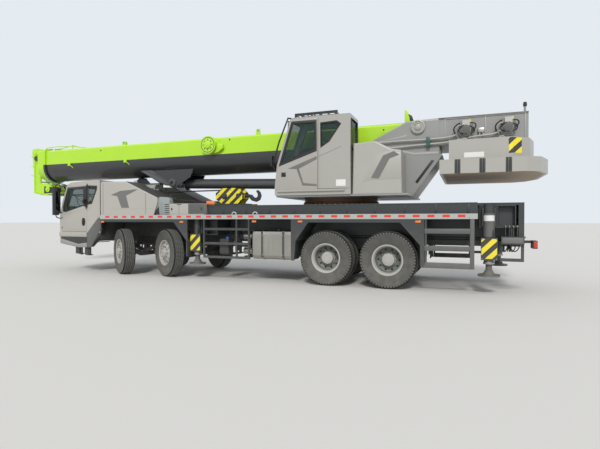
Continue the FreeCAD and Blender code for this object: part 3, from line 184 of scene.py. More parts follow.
def plate(points, step, width, segments):
    """Plate from the corners of one face and the step to the other face."""
    piece = chain(points, True)
    bpy.ops.mesh.extrude_region_move(TRANSFORM_OT_translate={"value": step})
    faced_out()
    return round_edges(piece, width, segments)


def side_sheet(outline, low, high, width=0.003, segments=2):
    """Plate with an outline of (s, z), from one side distance to another."""
    return plate([at(s, low, z) for s, z in outline], Y_AXIS * (high - low), width, segments)


def plan_sheet(outline, low, high, width=0.003, segments=2):
    """Plate with an outline of (s, y), from one height to another."""
    return plate([at(s, y, low) for s, y in outline], Z_AXIS * (high - low), width, segments)


def turned(profile, centre, axis, steps=32):
    """Round piece: the profile's (radius, along) points are spun about an axis through centre."""
    centre, axis = Vector(centre), Vector(axis).normalized()
    side = axis.orthogonal().normalized()
    piece = chain([centre + side * radius + axis * along for radius, along in profile], False)
    bpy.ops.mesh.select_all(action="SELECT")
    bpy.ops.mesh.spin(steps=steps, angle=FULL_TURN, center=centre, axis=axis)
    bpy.ops.mesh.select_all(action="SELECT")
    bpy.ops.mesh.remove_doubles(threshold=MERGE_WITHIN)
    faced_out()
    return piece


def cap(profile, place, axis=Y_AXIS, steps=24):
    """Round piece whose profile starts in the middle of its flat back, at (s, y, z)."""
    return turned([(0, 0)] + profile, at(*place), axis, steps)


def tube(points, radius, closed=False, sharp=False, sides=3):
    """Pipe, hose or seal along a smooth line, or along straight runs where it is sharp."""
    rest()
    bpy.ops.curve.primitive_nurbs_path_add()
    line = bpy.context.object.data
    line.splines.clear()
    spline = line.splines.new("POLY" if sharp else "NURBS")
    spline.points.add(len(points) - 1)
    for point, place in zip(spline.points, points):
        point.co = (*place, 1)
    spline.use_cyclic_u = closed
    if not sharp:
        spline.order_u = 3
        spline.use_endpoint_u = not closed
        spline.resolution_u = 6
    line.bevel_depth = radius
    line.bevel_resolution = sides
    line.use_fill_caps = not closed
    line.twist_mode = "MINIMUM"
    bpy.ops.object.convert(target="MESH")
    return bpy.context.object


def pipe(points, radius, start=0, **how):
    """Pipe through points given as (s, y, z), each s counted from start."""
    return tube([at(start + s, y, z) for s, y, z in points], radius, **how)


def rod(points, radius):
    """Pipe in straight runs."""
    return pipe(points, radius, sharp=True)


def groove(points, radius):
    """Thin seam or crease in straight runs, with few sides."""
    return pipe(points, radius, sharp=True, sides=1)


def moved(piece, matrix):
    """The same piece at another place, with the move kept in its mesh."""
    piece.data.transform(matrix)
    if matrix.determinant() < 0:
        piece.data.flip_normals()
    return piece


def copy_of(piece, matrix=Matrix.Identity(4)):
    only(piece)
    bpy.ops.object.duplicate(linked=False)
    return moved(bpy.context.object, matrix)


def joined(pieces):
    rest()
    for piece in pieces:
        piece.select_set(True)
    bpy.context.view_layer.objects.active = pieces[0]
    if len(pieces) > 1:
        bpy.ops.object.join()
    return bpy.context.object


def ring_of(piece, centre, axis, count):
    """Copies of a piece at equal angles round an axis, as one piece."""
    shaping(piece)
    bpy.ops.mesh.spin(
        steps=count - 1, angle=FULL_TURN * (count - 1) / count, center=centre, axis=axis, dupli=True)
    rest()
    return piece


def row_of(piece, step, count):
    """Copies of a piece in a row, as one piece."""
    return modified(piece, "ARRAY", count=count, use_relative_offset=False, use_constant_offset=True,
                    constant_offset_displace=step)


def with_twin(piece, matrix=FLIP):
    """A piece and its mirror image, by default on the vehicle's other side, as one piece."""
    return joined([piece, copy_of(piece, matrix)])


def cut_by(piece, cutter):
    """Takes the cutter's shape out of a piece."""
    modified(piece, "BOOLEAN", operation="DIFFERENCE", solver="EXACT", object=cutter)
    bpy.data.objects.remove(cutter)
    return piece


def framed(outline, opening, low, high, width=0.003):
    """Side plate with an opening through it."""
    hole = side_sheet(opening, low - 0.02, high + 0.02, 0)
    return cut_by(side_sheet(outline, low, high, width), hole)


def grown(outline, distance):
    """Outline with each side moved outwards by a distance."""
    corners = [Vector(corner) for corner in outline]
    area = sum(a.x * b.y - b.x * a.y for a, b in zip(corners, corners[1:] + corners[:1]))
    side = distance if area > 0 else -distance
    result = []
    for index, corner in enumerate(corners):
        before = (corner - corners[index - 1]).normalized()
        after = (corners[(index + 1) % len(corners)] - corner).normalized()
        first = Vector((before.y, -before.x))
        second = Vector((after.y, -after.x))
        result.append(tuple(corner + (first + second) / (1 + first.dot(second)) * side))
    return result


def seal(outline, y, radius, flat=0.5):
    """Rubber round an opening in a side panel, pressed flat against it."""
    piece = tube([at(s, y, z) for s, z in outline], radius, closed=True, sharp=True, sides=1)
    press = Matrix.Translation((0, y, 0)) @ Matrix.Scale(flat, 4, Y_AXIS) @ Matrix.Translation((0, -y, 0))
    return moved(piece, press)


def pane_seal(points, radius):
    """Rubber round a pane that isn't in a side panel."""
    return tube([at(*point) for point in points], radius, closed=True, sharp=True, sides=1)


def round_bar(start, end, radius, sides=16, width=0):
    """Round bar between two points given as (s, y, z)."""
    start, end = at(*start), at(*end)
    along = end - start
    piece = turned([(0, 0), (radius, 0), (radius, along.length), (0, along.length)], start, along, sides)
    return round_edges(piece, width, 2)


def bolts(places, radius, height):
    """Hexagon heads on a side, the first one modelled and the rest copied from it."""
    first = round_edges(cylinder(6, radius, height), radius * 0.12, 1)
    turn = Z_AXIS.rotation_difference(Y_AXIS).to_matrix().to_4x4()
    moved(first, Matrix.Translation(Y_AXIS * height / 2) @ turn)
    heads = [copy_of(first, Matrix.Translation(at(*place))) for place in places]
    bpy.data.objects.remove(first)
    return joined(heads)


def bolt_circle(s, y, z, reach, count, radius, height):
    places = []
    for index in range(count):
        turn = FULL_TURN * index / count
        places.append((s + reach * math.cos(turn), y, z + reach * math.sin(turn)))
    return bolts(places, radius, height)


def evened(half):
    """Profile that is the same on both sides of its middle, closed at its first point."""
    return half + [(radius, -along) for radius, along in reversed(half)] + half[:1]


# Putting pieces together

def painted(parts, angle=30):
    """One smooth-shaded piece from (piece, material) pairs; with None a piece keeps its own materials."""
    for piece, material in parts:
        only(piece)
        bpy.ops.object.shade_smooth_by_angle(angle=math.radians(angle))
        if material is not None:
            piece.data.materials.clear()
            piece.data.materials.append(material)
    return joined([piece for piece, material in parts])


def set_on(piece, name, body, slot):
    """Names a finished piece and lets it move with a body."""
    piece.name = name
    piece.data.name = name
    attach(piece, body)
    return piece


class Fitting:
    """The pieces of one fitting, put in material by material."""

    def __init__(self, name, body, slot):
        self.label = (name, body, slot)
        self.parts = []

    def put(self, material, *pieces):
        self.parts.append((joined(pieces), material))

    def both(self, material, *pieces):
        """Puts the same pieces on the left and on the right."""
        self.put(material, with_twin(joined(pieces)))

    def done(self, on_right=False):
        """The whole fitting, turned over where it was modelled on the left and belongs on the right."""
        if on_right:
            self.parts = [(moved(piece, FLIP), material) for piece, material in self.parts]
        return set_on(painted(self.parts), *self.label)


# Finishes

DUST = (0.32, 0.31, 0.28, 1)


def feed(tree, value, socket):
    """Links a socket, or sets a plain value."""
    if isinstance(value, bpy.types.NodeSocket):
        tree.links.new(value, socket)
    else:
        socket.default_value = value


def add(tree, kind, **values):
    """Node with its settings; a value that names an input sets that input."""
    node = tree.nodes.new("ShaderNode" + kind)
    for key, value in values.items():
        if hasattr(node, key):
            setattr(node, key, value)
        else:
            node.inputs[key.replace("_", " ")].default_value = value
    return node


def mixed(tree, factor, first, second, blend="MIX"):
    """Colour mix; factor, first and second are sockets or plain values."""
    node = add(tree, "Mix", data_type="RGBA", blend_type=blend)
    for index, value in ((0, factor), (6, first), (7, second)):
        feed(tree, value, node.inputs[index])
    return node.outputs[2]


def worked(tree, operation, *values):
    """Math node on sockets or plain values."""
    node = add(tree, "Math", operation=operation)
    for value, socket in zip(values, node.inputs):
        feed(tree, value, socket)
    return node.outputs[0]


def object_place(tree):
    return add(tree, "TexCoord").outputs["Object"]


def object_axis(tree, axis):
    split = add(tree, "SeparateXYZ")
    tree.links.new(object_place(tree), split.inputs[0])
    return split.outputs[axis]


def weather_group():
    """Uneven colour, dust that thins out with height, and the fine grain of a sprayed coat."""
    group = bpy.data.node_groups.new("weather", "ShaderNodeTree")
    starts = {"Color": (0.5, 0.5, 0.5, 1), "Dust Color": DUST, "Dust": 0.3, "Dust Height": 1.6,
              "Unevenness": 0.05, "Roughness": 0.4, "Grain": 160.0}
    for name, value in starts.items():
        kind = "NodeSocketColor" if name.endswith("Color") else "NodeSocketFloat"
        group.interface.new_socket(name=name, in_out="INPUT", socket_type=kind).default_value = value
    for name, kind in (("Color", "NodeSocketColor"), ("Roughness", "NodeSocketFloat"), ("Height", "NodeSocketFloat")):
        group.interface.new_socket(name=name, in_out="OUTPUT", socket_type=kind)
    into = group.nodes.new("NodeGroupInput").outputs
    out = group.nodes.new("NodeGroupOutput").inputs
    broad = add(group, "TexNoise", Scale=1.4, Detail=5.0, Roughness=0.6)
    patchy = add(group, "TexNoise", Scale=7.0, Detail=6.0, Roughness=0.65)
    grain = add(group, "TexNoise", Detail=2.0)
    for node in (broad, patchy, grain):
        group.links.new(object_place(group), node.inputs["Vector"])
    group.links.new(into["Grain"], grain.inputs["Scale"])

    def work(operation, *values):
        return worked(group, operation, *values)

    low = work("SUBTRACT", 1.0, work("DIVIDE", object_axis(group, "Z"), into["Dust Height"]))
    patches = work("MULTIPLY", patchy.outputs[0], 1.7)
    dust = work("MULTIPLY", work("MULTIPLY", work("MAXIMUM", low, 0.06), patches), into["Dust"])
    dust = work("MINIMUM", dust, 1.0)
    shade = work("MULTIPLY", work("SUBTRACT", broad.outputs[0], 0.5), into["Unevenness"])
    shade = work("ADD", work("MULTIPLY", shade, 2.0), 1.0)
    tone = add(group, "CombineXYZ")
    for index in range(3):
        group.links.new(shade, tone.inputs[index])
    color = mixed(group, 1.0, into["Color"], tone.outputs[0], "MULTIPLY")
    rough = work("ADD", into["Roughness"], work("MULTIPLY", dust, 0.5))
    rough = work("ADD", rough, work("MULTIPLY", work("SUBTRACT", patchy.outputs[0], 0.5), 0.12))
    group.links.new(mixed(group, dust, color, into["Dust Color"]), out["Color"])
    group.links.new(rough, out["Roughness"])
    group.links.new(grain.outputs[0], out["Height"])
    return group


WEATHER = weather_group()


def new_material(name, sockets):
    material = bpy.data.materials.new(name)
    material.use_nodes = True
    shader = material.node_tree.nodes["Principled BSDF"]
    for socket, value in sockets.items():
        shader.inputs[socket].default_value = value
    return material, material.node_tree, shader


def finish(name, color, roughness, sockets, dust=0.25, uneven=0.05, grain=160.0, bump=0.03, height=1.6):
    """Weathered material; color is a plain colour, or a function that makes a colour in a node tree."""
    material, tree, shader = new_material(name, sockets)
    coat = add(tree, "Group", node_tree=WEATHER)
    values = {"Color": color(tree) if callable(color) else (*color, 1), "Dust Color": DUST, "Dust": dust,
              "Dust Height": height, "Unevenness": uneven, "Roughness": roughness, "Grain": grain}
    for socket, value in values.items():
        feed(tree, value, coat.inputs[socket])
    tree.links.new(coat.outputs["Color"], shader.inputs["Base Color"])
    tree.links.new(coat.outputs["Roughness"], shader.inputs["Roughness"])
    relief = add(tree, "Bump", Strength=bump, Distance=0.01)
    tree.links.new(coat.outputs["Height"], relief.inputs["Height"])
    tree.links.new(relief.outputs["Normal"], shader.inputs["Normal"])
    return material


def paint(name, color, roughness=0.38, coat=0.3, **worn):
    """Sprayed paint with a clear coat."""
    return finish(name, color, roughness, {"Coat Weight": coat, "Coat Roughness": 0.15}, **worn)


def metal(name, color, roughness, **worn):
    return finish(name, color, roughness, {"Metallic": 1.0}, **worn)


def rubber(name, color, dust):
    return finish(name, color, 0.75, {}, dust=dust, uneven=0.12, grain=90.0, bump=0.12, height=1.9)


def lens(name, color):
    """Lamp lens with the ribs of its moulding."""
    return finish(name, color, 0.15, {"Coat Weight": 0.8}, dust=0.1, grain=40.0, bump=0.2)


def glass(name, color, alpha):
    """Tinted pane, partly see-through."""
    material = finish(name, color, 0.06, {"Alpha": alpha, "IOR": 1.5}, dust=0.08, bump=0.0)
    material.blend_method = "BLEND"
    return material


def two_tone(name, upper, lower, boundary):
    """Paint that changes colour at a height."""
    def color(tree):
        mask = worked(tree, "GREATER_THAN", object_axis(tree, "Z"), boundary)
        return mixed(tree, mask, (*lower, 1), (*upper, 1))

    return finish(name, color, 0.3, {"Coat Weight": 0.35, "Coat Roughness": 0.1}, dust=0.2, uneven=0.06)


HAZARD_YELLOW = (0.86, 0.72, 0.02, 1)
HAZARD_BLACK = (0.03, 0.03, 0.03, 1)


def striped(name, direction, period, ends_before=None):
    """Slanted yellow and black bands; direction is the way across them, and ends_before keeps the rear plain."""
    def color(tree):
        across = add(tree, "VectorMath", operation="DOT_PRODUCT")
        across.inputs[1].default_value = Vector(direction).normalized() / period
        tree.links.new(object_place(tree), across.inputs[0])
        mask = worked(tree, "GREATER_THAN", worked(tree, "FRACT", across.outputs["Value"]), 0.5)
        if ends_before is not None:
            mask = worked(tree, "MAXIMUM", mask, worked(tree, "LESS_THAN", object_axis(tree, "X"), ends_before))
        return mixed(tree, mask, HAZARD_YELLOW, HAZARD_BLACK)

    return finish(name, color, 0.4, {}, dust=0.2)


GREY = paint("warm_grey_paint", (0.376, 0.368, 0.34), 0.42, 0.2, dust=0.15)
PALE = paint("pale_grey_paint", (0.405, 0.392, 0.355), dust=0.2)
DARK = paint("frame_paint", (0.03, 0.035, 0.037), 0.45, 0.2, dust=0.27, uneven=0.15)
ARM = paint("arm_grey_paint", (0.275, 0.28, 0.272), 0.42, 0.2, dust=0.2, uneven=0.08)
# Dark panel paint; on the counterweight it also stands for the slots' recesses, as painted shade.
PANEL_AND_SLOT_SHADE = paint("skirt_paint", (0.092, 0.095, 0.092), 0.42, 0.2, uneven=0.1)
INTAKE = paint("intake_paint", (0.27, 0.3, 0.305), 0.42, 0.2, dust=0.2, uneven=0.08)
JACK = paint("jack_paint", (0.105, 0.108, 0.102), 0.45, 0.1, dust=0.3, uneven=0.12)
# Dark stripe paint; on the boom reel it also stands for the flange's holes, as painted shade.
DARK_STRIPE_AND_HOLE_SHADE = paint("dark_stripe_paint", (0.145, 0.142, 0.137), 0.42, 0.2, dust=0.2)
LIME_COLOR = (0.42, 0.72, 0.018)
LIME = paint("lime_paint", LIME_COLOR, 0.34, dust=0.2)
BOOM = two_tone("boom_paint", LIME_COLOR, (0.028, 0.031, 0.033), 3.2)
CAB = two_tone("operator_cab_paint", (0.02, 0.02, 0.02), (0.366, 0.356, 0.328), 3.748)
BARREL = paint("barrel_paint", (0.055, 0.057, 0.06), 0.35, 0.4, dust=0.3)
# Rim colour darkened into painted shade, for the rear rims' dished discs and wells and for the inner twins' rims; the
# front rims, rear flanges and hubs keep the pale rim paint.
RIM_PAINTED_SHADE = paint("rim_paint", (0.115, 0.13, 0.12), 0.45, 0.1, dust=0.35, uneven=0.15)
PALE_RIM = paint("pale_rim_paint", (0.42, 0.41, 0.385), 0.4, 0.1, dust=0.35, uneven=0.15)
BRIGHT_RIM = paint("bright_rim_paint", (0.44, 0.44, 0.41), 0.4, 0.1, dust=0.2, uneven=0.15)
RING = paint("ring_primer", (0.17, 0.085, 0.04), 0.55, 0, dust=0.4, uneven=0.25)
TAN = paint("tan_primer", (0.36, 0.28, 0.19), 0.6, 0)
GREEN = paint("clamp_green", (0.01, 0.09, 0.07), 0.4)
# Black plastic parts, and also the flat black sheet over the step recess under the carrier doors, which is painted
# shade.
BLACK = paint("black_plastic", (0.018, 0.018, 0.02), 0.45, 0, grain=300.0, bump=0.06)
INTERIOR = paint("cab_trim", (0.09, 0.09, 0.095), 0.6, 0, dust=0.1, grain=260.0, bump=0.08)
WHITE = paint("white_film", (0.72, 0.72, 0.7), 0.35, dust=0.15)
BAND = paint("band_film", (0.4, 0.42, 0.4), 0.35, dust=0.15)
RED = paint("red_film", (0.7, 0.035, 0.02), 0.35, dust=0.12)
YELLOW = paint("yellow_cap", (0.8, 0.6, 0.02), 0.4, 0.2, dust=0.1)
BLUE = paint("blue_cap", (0.03, 0.12, 0.55), 0.35, dust=0.15)
CASTING = paint("casting", (0.035, 0.035, 0.036), 0.6, 0, dust=0.6, uneven=0.3, bump=0.15)
TYRE = rubber("tyre_rubber", (0.03, 0.031, 0.028), 0.42)
TREAD = rubber("tread_rubber", (0.01, 0.011, 0.01), 0.06)
BLOCKS = rubber("tread_block_rubber", (0.15, 0.154, 0.145), 0.3)
SEAL = rubber("window_seal", (0.015, 0.015, 0.016), 0.15)
TANK = metal("tank_metal", (0.44, 0.42, 0.375), 0.24, dust=0.35, uneven=0.3, grain=13.0, bump=0.3)
STEEL = metal("plain_steel", (0.42, 0.41, 0.39), 0.4, dust=0.3, uneven=0.2)
ROPE = metal("rope_steel", (0.16, 0.155, 0.15), 0.5, dust=0.2, uneven=0.2, grain=400.0, bump=0.3)
CHROME = metal("polished_steel", (0.72, 0.73, 0.75), 0.12, dust=0.1, bump=0.005)
ROD = metal("worn_rod", (0.86, 0.88, 0.89), 0.42, dust=0.1, bump=0.005)
MIRROR = metal("mirror_glass", (0.07, 0.08, 0.085), 0.1, dust=0.1, bump=0.0)
GLASS = glass("tinted_glass", (0.022, 0.055, 0.048), 0.36)
AMBER = lens("amber_lens", (0.8, 0.2, 0.01))
RED_LENS = lens("red_lens", (0.55, 0.02, 0.01))
CLEAR_LENS = lens("clear_lens", (0.62, 0.64, 0.65))
HAZARD = striped("hazard_stripes", (1, 0, 1), 0.18)
HOOK = striped("hook_stripes", (1, 0, 1.1), 0.17, ends_before=AXLE_4_X + 3.86)

# Each carried-over node's finish, by the start of its name
CAD_FINISH = {
    "boom_base": BOOM, "boom_section": LIME, "boom_rest": DARK, "superstructure_frame": ARM, "winches": STEEL,
    "operator_cab_shell": CAB, "operator_cab_interior": INTERIOR, "operator_cab_glass": GLASS,
    "carrier_cab_shell": PALE, "carrier_cab_interior": INTERIOR, "carrier_cab_glass": GLASS,
    "carrier_door": PALE, "engine_covers": PALE, "chassis_frame": DARK, "outrigger": DARK, "deck": DARK,
    "fenders": DARK, "guards": DARK, "slew_ring": RING, "cab_fittings": BLACK, "lamps": BLACK,
    "front_axles": CASTING, "rear_axles": CASTING, "engine_and_driveline": CASTING, "knuckle": CASTING,
    "jack_foot": CASTING, "side_tanks": TANK, "luffing_barrel": BARREL, "luffing_rod": ROD, "hook_block": HOOK,
}


def paint_nodes():
    for name, piece in NODES.items():
        finishes = [material for start, material in CAD_FINISH.items() if name.startswith(start)]
        piece.data.materials.clear()
        piece.data.materials.append(finishes[0] if finishes else GREY)


# Wheels, modelled about the Y axis through the origin with the outboard side toward +Y

TREAD_STEPS = 112
TREAD_BASE_R = 0.5915
TREAD_HALF = 0.113
SHOULDER_R = (0.553, 0.578, 0.592)
TYRE_HALF = [
    (0.306, -0.118), (0.322, -0.131), (0.338, -0.131), (0.352, -0.137), (0.4, -0.146), (0.46, -0.15),
    (0.52, -0.147), (0.552, -0.137), (0.572, -0.13), (0.585, -0.122), (0.593, -0.112), (0.594, -0.067),
    (0.595, -0.022),
]
TWIN_TYRE_WIDTH = 0.300
FRONT_STEER = {"1": -33.0, "2": -28.0}
ORIGIN = (0, 0, 0)


def reach_of(centre):
    return math.hypot(centre.x, centre.z)


def on_even_step(centre):
    """Whether a face lies on an even one of the tread's steps."""
    return math.floor(math.atan2(centre.x, centre.z) / FULL_TURN * TREAD_STEPS) % 2 == 0


def on_tread(centre):
    return reach_of(centre) > TREAD_BASE_R and abs(centre.y) < TREAD_HALF


def on_lug(centre):
    return SHOULDER_R[0] < reach_of(centre) < SHOULDER_R[2] and abs(centre.y) > 0.117 and on_even_step(centre)


def tyre():
    """Tyre with blocks raised from its tread and lugs over its shoulders."""
    piece = turned(evened(TYRE_HALF), ORIGIN, Y_AXIS, TREAD_STEPS)
    pick(piece, on_tread)
    bpy.ops.mesh.inset(thickness=0.0075, use_individual=True)
    bpy.ops.mesh.extrude_region_shrink_fatten(TRANSFORM_OT_shrink_fatten={"value": 0.014})
    pick(piece, on_lug)
    bpy.ops.mesh.extrude_region_shrink_fatten(TRANSFORM_OT_shrink_fatten={"value": 0.013})
    rest()
    for material in (TYRE, TREAD, BLOCKS):
        piece.data.materials.append(material)
    for face in piece.data.polygons:
        reach = reach_of(face.center)
        if reach > 0.6:
            face.material_index = 2
        elif reach > SHOULDER_R[1] or (reach > SHOULDER_R[0] and not on_even_step(face.center)):
            face.material_index = 1
        elif reach > SHOULDER_R[0]:
            face.material_index = 2
    return piece


def pressed_disc(profile):
    """Disc pressed from sheet: the outer face, then the inner face 12 mm behind it."""
    shell = profile + [(radius, along - 0.012) for radius, along in reversed(profile)]
    return turned(shell + shell[:1], ORIGIN, Y_AXIS, 48)


def pierced(piece, reach, radius, sides, low, high):
    """Ten holes at equal angles through a disc."""
    cutter = cylinder(sides, radius, high - low, (reach, (low + high) / 2, 0), (math.pi / 2, 0, 0))
    return cut_by(piece, ring_of(cutter, ORIGIN, Y_AXIS, 10))


def studs(reach, along, count, radius=0.016, height=0.03):
    """Wheel nuts on their circle."""
    turn = (math.pi / 2, 0, 0)
    nut = cylinder(6, radius, height, (reach, along + height / 2, 0), turn)
    end = cylinder(10, radius * 0.55, height, (reach, along + height, 0), turn)
    return ring_of(round_edges(joined([nut, end]), 0.002, 1), ORIGIN, Y_AXIS, count)


RIM_FLANGE = [(0.306, 0.1), (0.312, 0.126), (0.33, 0.131), (0.329, 0.139), (0.312, 0.139), (0.296, 0.124)]


def front_rim():
    disc = pierced(pressed_disc([
        (0.29, 0.098), (0.283, 0.086), (0.27, 0.084), (0.232, 0.104), (0.206, 0.116), (0.196, 0.119),
        (0.14, 0.119), (0.132, 0.112),
    ]), 0.243, 0.03, 14, 0.02, 0.16)
    barrel = turned(RIM_FLANGE + [
        (0.29, 0.086), (0.286, 0), (0.296, -0.122), (0.318, -0.137), (0.32, -0.13),
    ], ORIGIN, Y_AXIS, 48)
    hub = turned([
        (0.136, 0.06), (0.136, 0.124), (0.118, 0.128), (0.112, 0.132), (0.106, 0.158), (0.096, 0.166),
        (0.06, 0.168), (0.056, 0.175), (0, 0.176),
    ], ORIGIN, Y_AXIS)
    brake = turned([(0, -0.1), (0.2, -0.1), (0.205, -0.02), (0, -0.02)], ORIGIN, Y_AXIS, 24)
    nuts = studs(0.168, 0.118, 10)
    caps = studs(0.088, 0.164, 8, 0.008, 0.008)
    return [(joined([disc, barrel, hub, caps]), PALE_RIM), (nuts, STEEL), (brake, CASTING)]


def rear_outer_rim():
    disc = pierced(pressed_disc([
        (0.27, -0.02), (0.265, -0.045), (0.252, -0.062), (0.225, -0.078), (0.196, -0.088), (0.145, -0.088),
    ]), 0.222, 0.022, 8, -0.12, -0.03)
    well = turned([(0.272, 0.035), (0.27, -0.02), (0.292, -0.125)], ORIGIN, Y_AXIS, 48)
    flange = turned(RIM_FLANGE + [(0.285, 0.095), (0.272, 0.035)], ORIGIN, Y_AXIS, 48)
    hub = turned([
        (0.152, -0.088), (0.15, -0.07), (0.138, -0.066), (0.135, 0.016), (0.126, 0.03), (0.09, 0.034),
        (0.086, 0.04), (0.06, 0.042), (0.056, 0.038), (0, 0.038),
    ], ORIGIN, Y_AXIS)
    nuts = studs(0.168, -0.088, 10, 0.015, 0.034)
    caps = studs(0.108, 0.03, 10, 0.007, 0.007)
    # The dished disc and well take the darkened rim colour: painted shade.
    return [(joined([disc, well]), RIM_PAINTED_SHADE), (flange, BRIGHT_RIM), (joined([hub, caps]), PALE_RIM), (nuts, STEEL)]


def plain_rim():
    """The inner twin's rim, its disc against the outer one's."""
    half = [(0.318, 0.137), (0.296, 0.122), (0.288, 0.08)]
    barrel = turned(evened(half)[:-1], ORIGIN, Y_AXIS, 40)
    disc = turned([(0.288, 0.06), (0.15, 0.08), (0, 0.08)], ORIGIN, Y_AXIS)
    drum = turned([(0, -0.14), (0.215, -0.14), (0.22, 0.02), (0, 0.02)], ORIGIN, Y_AXIS, 24)
    # The inner twin's rim takes the darkened rim colour: painted shade.
    return [(joined([barrel, disc]), RIM_PAINTED_SHADE), (drum, CASTING)]


def wheels():
    """One steered and one twin wheel are modelled, and copied to each place."""
    rubber_ring = tyre()
    low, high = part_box("wheel_4_left")
    spread = (high.y - low.y - TWIN_TYRE_WIDTH) / 2
    front = painted([(copy_of(rubber_ring), None)] + front_rim(), 32)
    outer = painted([(copy_of(rubber_ring), None)] + rear_outer_rim(), 32)
    inner = painted([(rubber_ring, None)] + plain_rim(), 32)
    twin = joined([moved(outer, Matrix.Translation((0, spread, 0))), moved(inner, Matrix.Translation((0, -spread, 0)))])
    for axle in "1234":
        for side in ("left", "right"):
            name = "wheel_%s_%s" % (axle, side)
            place = Matrix.Translation(middle(name))
            if axle in FRONT_STEER:
                place = place @ Matrix.Rotation(math.radians(FRONT_STEER[axle]), 4, "Z")
            if side == "right":
                place = place @ FLIP
            wheel = copy_of(front if axle in FRONT_STEER else twin, place)
            body = NODES[name].parent.name.replace("body:", "")
            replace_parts(set_on(wheel, name + "_dressed", body, "tyre"), name)
    bpy.data.objects.remove(front)
    bpy.data.objects.remove(twin)


# Carrier cab

CAB1_Y = 1.3
CAB1_WINDOW = [(8.4, 1.875), (8.4, 2.318), (8.96, 2.31), (9.09, 1.85), (9.06, 1.72)]
CAB1_QUARTER_WINDOW = [(8.24, 1.93), (8.24, 2.37), (7.93, 2.359), (8.128, 1.942)]
CAB1_QUARTER_SURROUND = [(8.287, 1.87), (8.287, 2.415), (7.905, 2.392), (7.912, 2.29), (8.095, 1.9)]


def carrier_cab_trim():
    trim = Fitting("carrier_cab_trim", "carrier", "cream_paint")
    trim.both(BLACK, framed(CAB1_QUARTER_SURROUND, CAB1_QUARTER_WINDOW, CAB1_Y, 1.304, 0.001))
    trim.both(ARM, side_sheet([
        (9.285, 0.935), (8.602, 0.788), (8.289, 0.828), (8.289, 0.693), (8.603, 0.686), (9.106, 0.761),
        (9.285, 0.792),
    ], 1.24, 1.303, 0.01))
    trim.both(GREY, side_sheet([(8.291, 0.985), (8.291, 1.086), (9.25, 1.08), (9.262, 0.985)], 1.29, 1.3045, 0.002))
    trim.both(PANEL_AND_SLOT_SHADE, side_sheet([
        (7.795, 1.517), (7.869, 1.517), (8.27, 1.095), (8.27, 0.69), (8.135, 0.7), (7.77, 1.219),
    ], 1.296, 1.308, 0.002))
    # The flat black sheet below the grey sill band is painted shade over the step recess under the door.
    trim.both(
        BLACK,
        side_sheet([(8.291, 0.82), (8.291, 0.985), (9.262, 0.985), (9.262, 0.93), (8.602, 0.78)], 1.285, 1.3005, 0.001),
        pipe([(8.262, 1.3, 1.8), (8.262, 1.335, 1.82), (8.262, 1.335, 2.43), (8.262, 1.3, 2.45)], 0.013),
        pipe([(8.33, 1.303, 1.9), (8.3, 1.345, 1.86), (8.25, 1.35, 1.76)], 0.012),
        cap([(0.062, 0), (0.07, 0.012), (0.066, 0.04), (0.04, 0.055), (0, 0.06)], (8.27, 1.372, 1.965), X_AXIS, 20),
        brick((9.212, 9.3), (1.325, 1.532), (1.625, 2.372), 0.035, 4),
        pipe([(9.1, 1.2, 2.43), (9.2, 1.36, 2.5), (9.27, 1.46, 2.44), (9.27, 1.46, 2.36)], 0.014),
        pipe([(9.27, 1.46, 1.62), (9.27, 1.45, 1.54), (9.3, 1.33, 1.5), (9.3, 1.2, 1.5)], 0.014),
        brick((8.63, 8.78), (1.15, 1.235), (0.505, 0.72), 0.012),
        brick((8.292, 8.44), (1.15, 1.235), (0.475, 0.72), 0.012))
    for z in ((1.875, 2.335), (1.66, 1.845)):
        trim.both(MIRROR, brick((9.206, 9.214), (1.358, 1.506), z, 0.003))
    trim.put(CASTING, brick((7.7985, 7.8085), (-1.285, 1.285), (0.935, 1.56), 0.003))
    trim.put(SEAL, pane_seal([(9.034, 1.08, 2.39), (9.034, -1.08, 2.39), (9.25, -1.08, 1.85), (9.25, 1.08, 1.85)], 0.015))
    trim.put(BLACK, side_sheet([(9.02, 2.452), (9.16, 2.405), (9.168, 2.418), (9.03, 2.468)], -1, 1, 0.004))
    for y in (-0.8, -0.4, 0, 0.4, 0.8):
        trim.put(AMBER, brick((8.93, 9.01), (y - 0.05, y + 0.05), (2.475, 2.515), 0.012))
    for y in (-0.72, -0.02, 0.6):
        trim.put(
            BLACK, rod([(9.3, y, 1.795), (9.29, y + 0.02, 1.82), (9.16, y + 0.26, 2.13)], 0.008),
            rod([(9.215, y + 0.02, 1.99), (9.125, y + 0.42, 2.22)], 0.007))
    trim.done()


def carrier_cab_front():
    """Black mask with slats below the windscreen, blank plate, headlamps and bumper grille."""
    front = Fitting("carrier_cab_front", "carrier", "dark_paint")
    front.put(BLACK, side_sheet([(9.401, 1.6), (9.409, 1.6), (9.437, 1.16), (9.43, 1.16)], -0.92, 0.92))
    front.put(PALE, row_of(brick((9.405, 9.432), (-0.8, 0.8), (1.535, 1.56), 0.006), (0.0045, 0, -0.078), 5))
    front.put(BLACK, side_sheet([(9.262, 1.84), (9.27, 1.84), (9.398, 1.625), (9.39, 1.625)], -1, 1))
    front.put(WHITE, brick((9.46, 9.467), (-0.24, 0.24), (0.775, 0.9), 0.002))
    front.put(CASTING, row_of(brick((9.456, 9.466), (-0.72, 0.72), (0.735, 0.76), 0.003), (0, 0, 0.04), 4))
    front.both(CLEAR_LENS, brick((9.474, 9.482), (0.87, 1.13), (0.992, 1.098), 0.006))
    for y in (0.94, 1.05):
        front.both(CHROME, cap([(0.04, 0), (0.044, 0.01), (0, 0.016)], (9.478, y, 1.045), X_AXIS, 20))
    front.both(AMBER, brick((9.455, 9.478), (1.132, 1.17), (0.99, 1.1), 0.006))
    front.both(CLEAR_LENS, cap([(0.055, 0), (0.055, 0.012), (0.045, 0.016), (0, 0.02)], (9.457, 0.86, 0.84), X_AXIS))
    front.done()


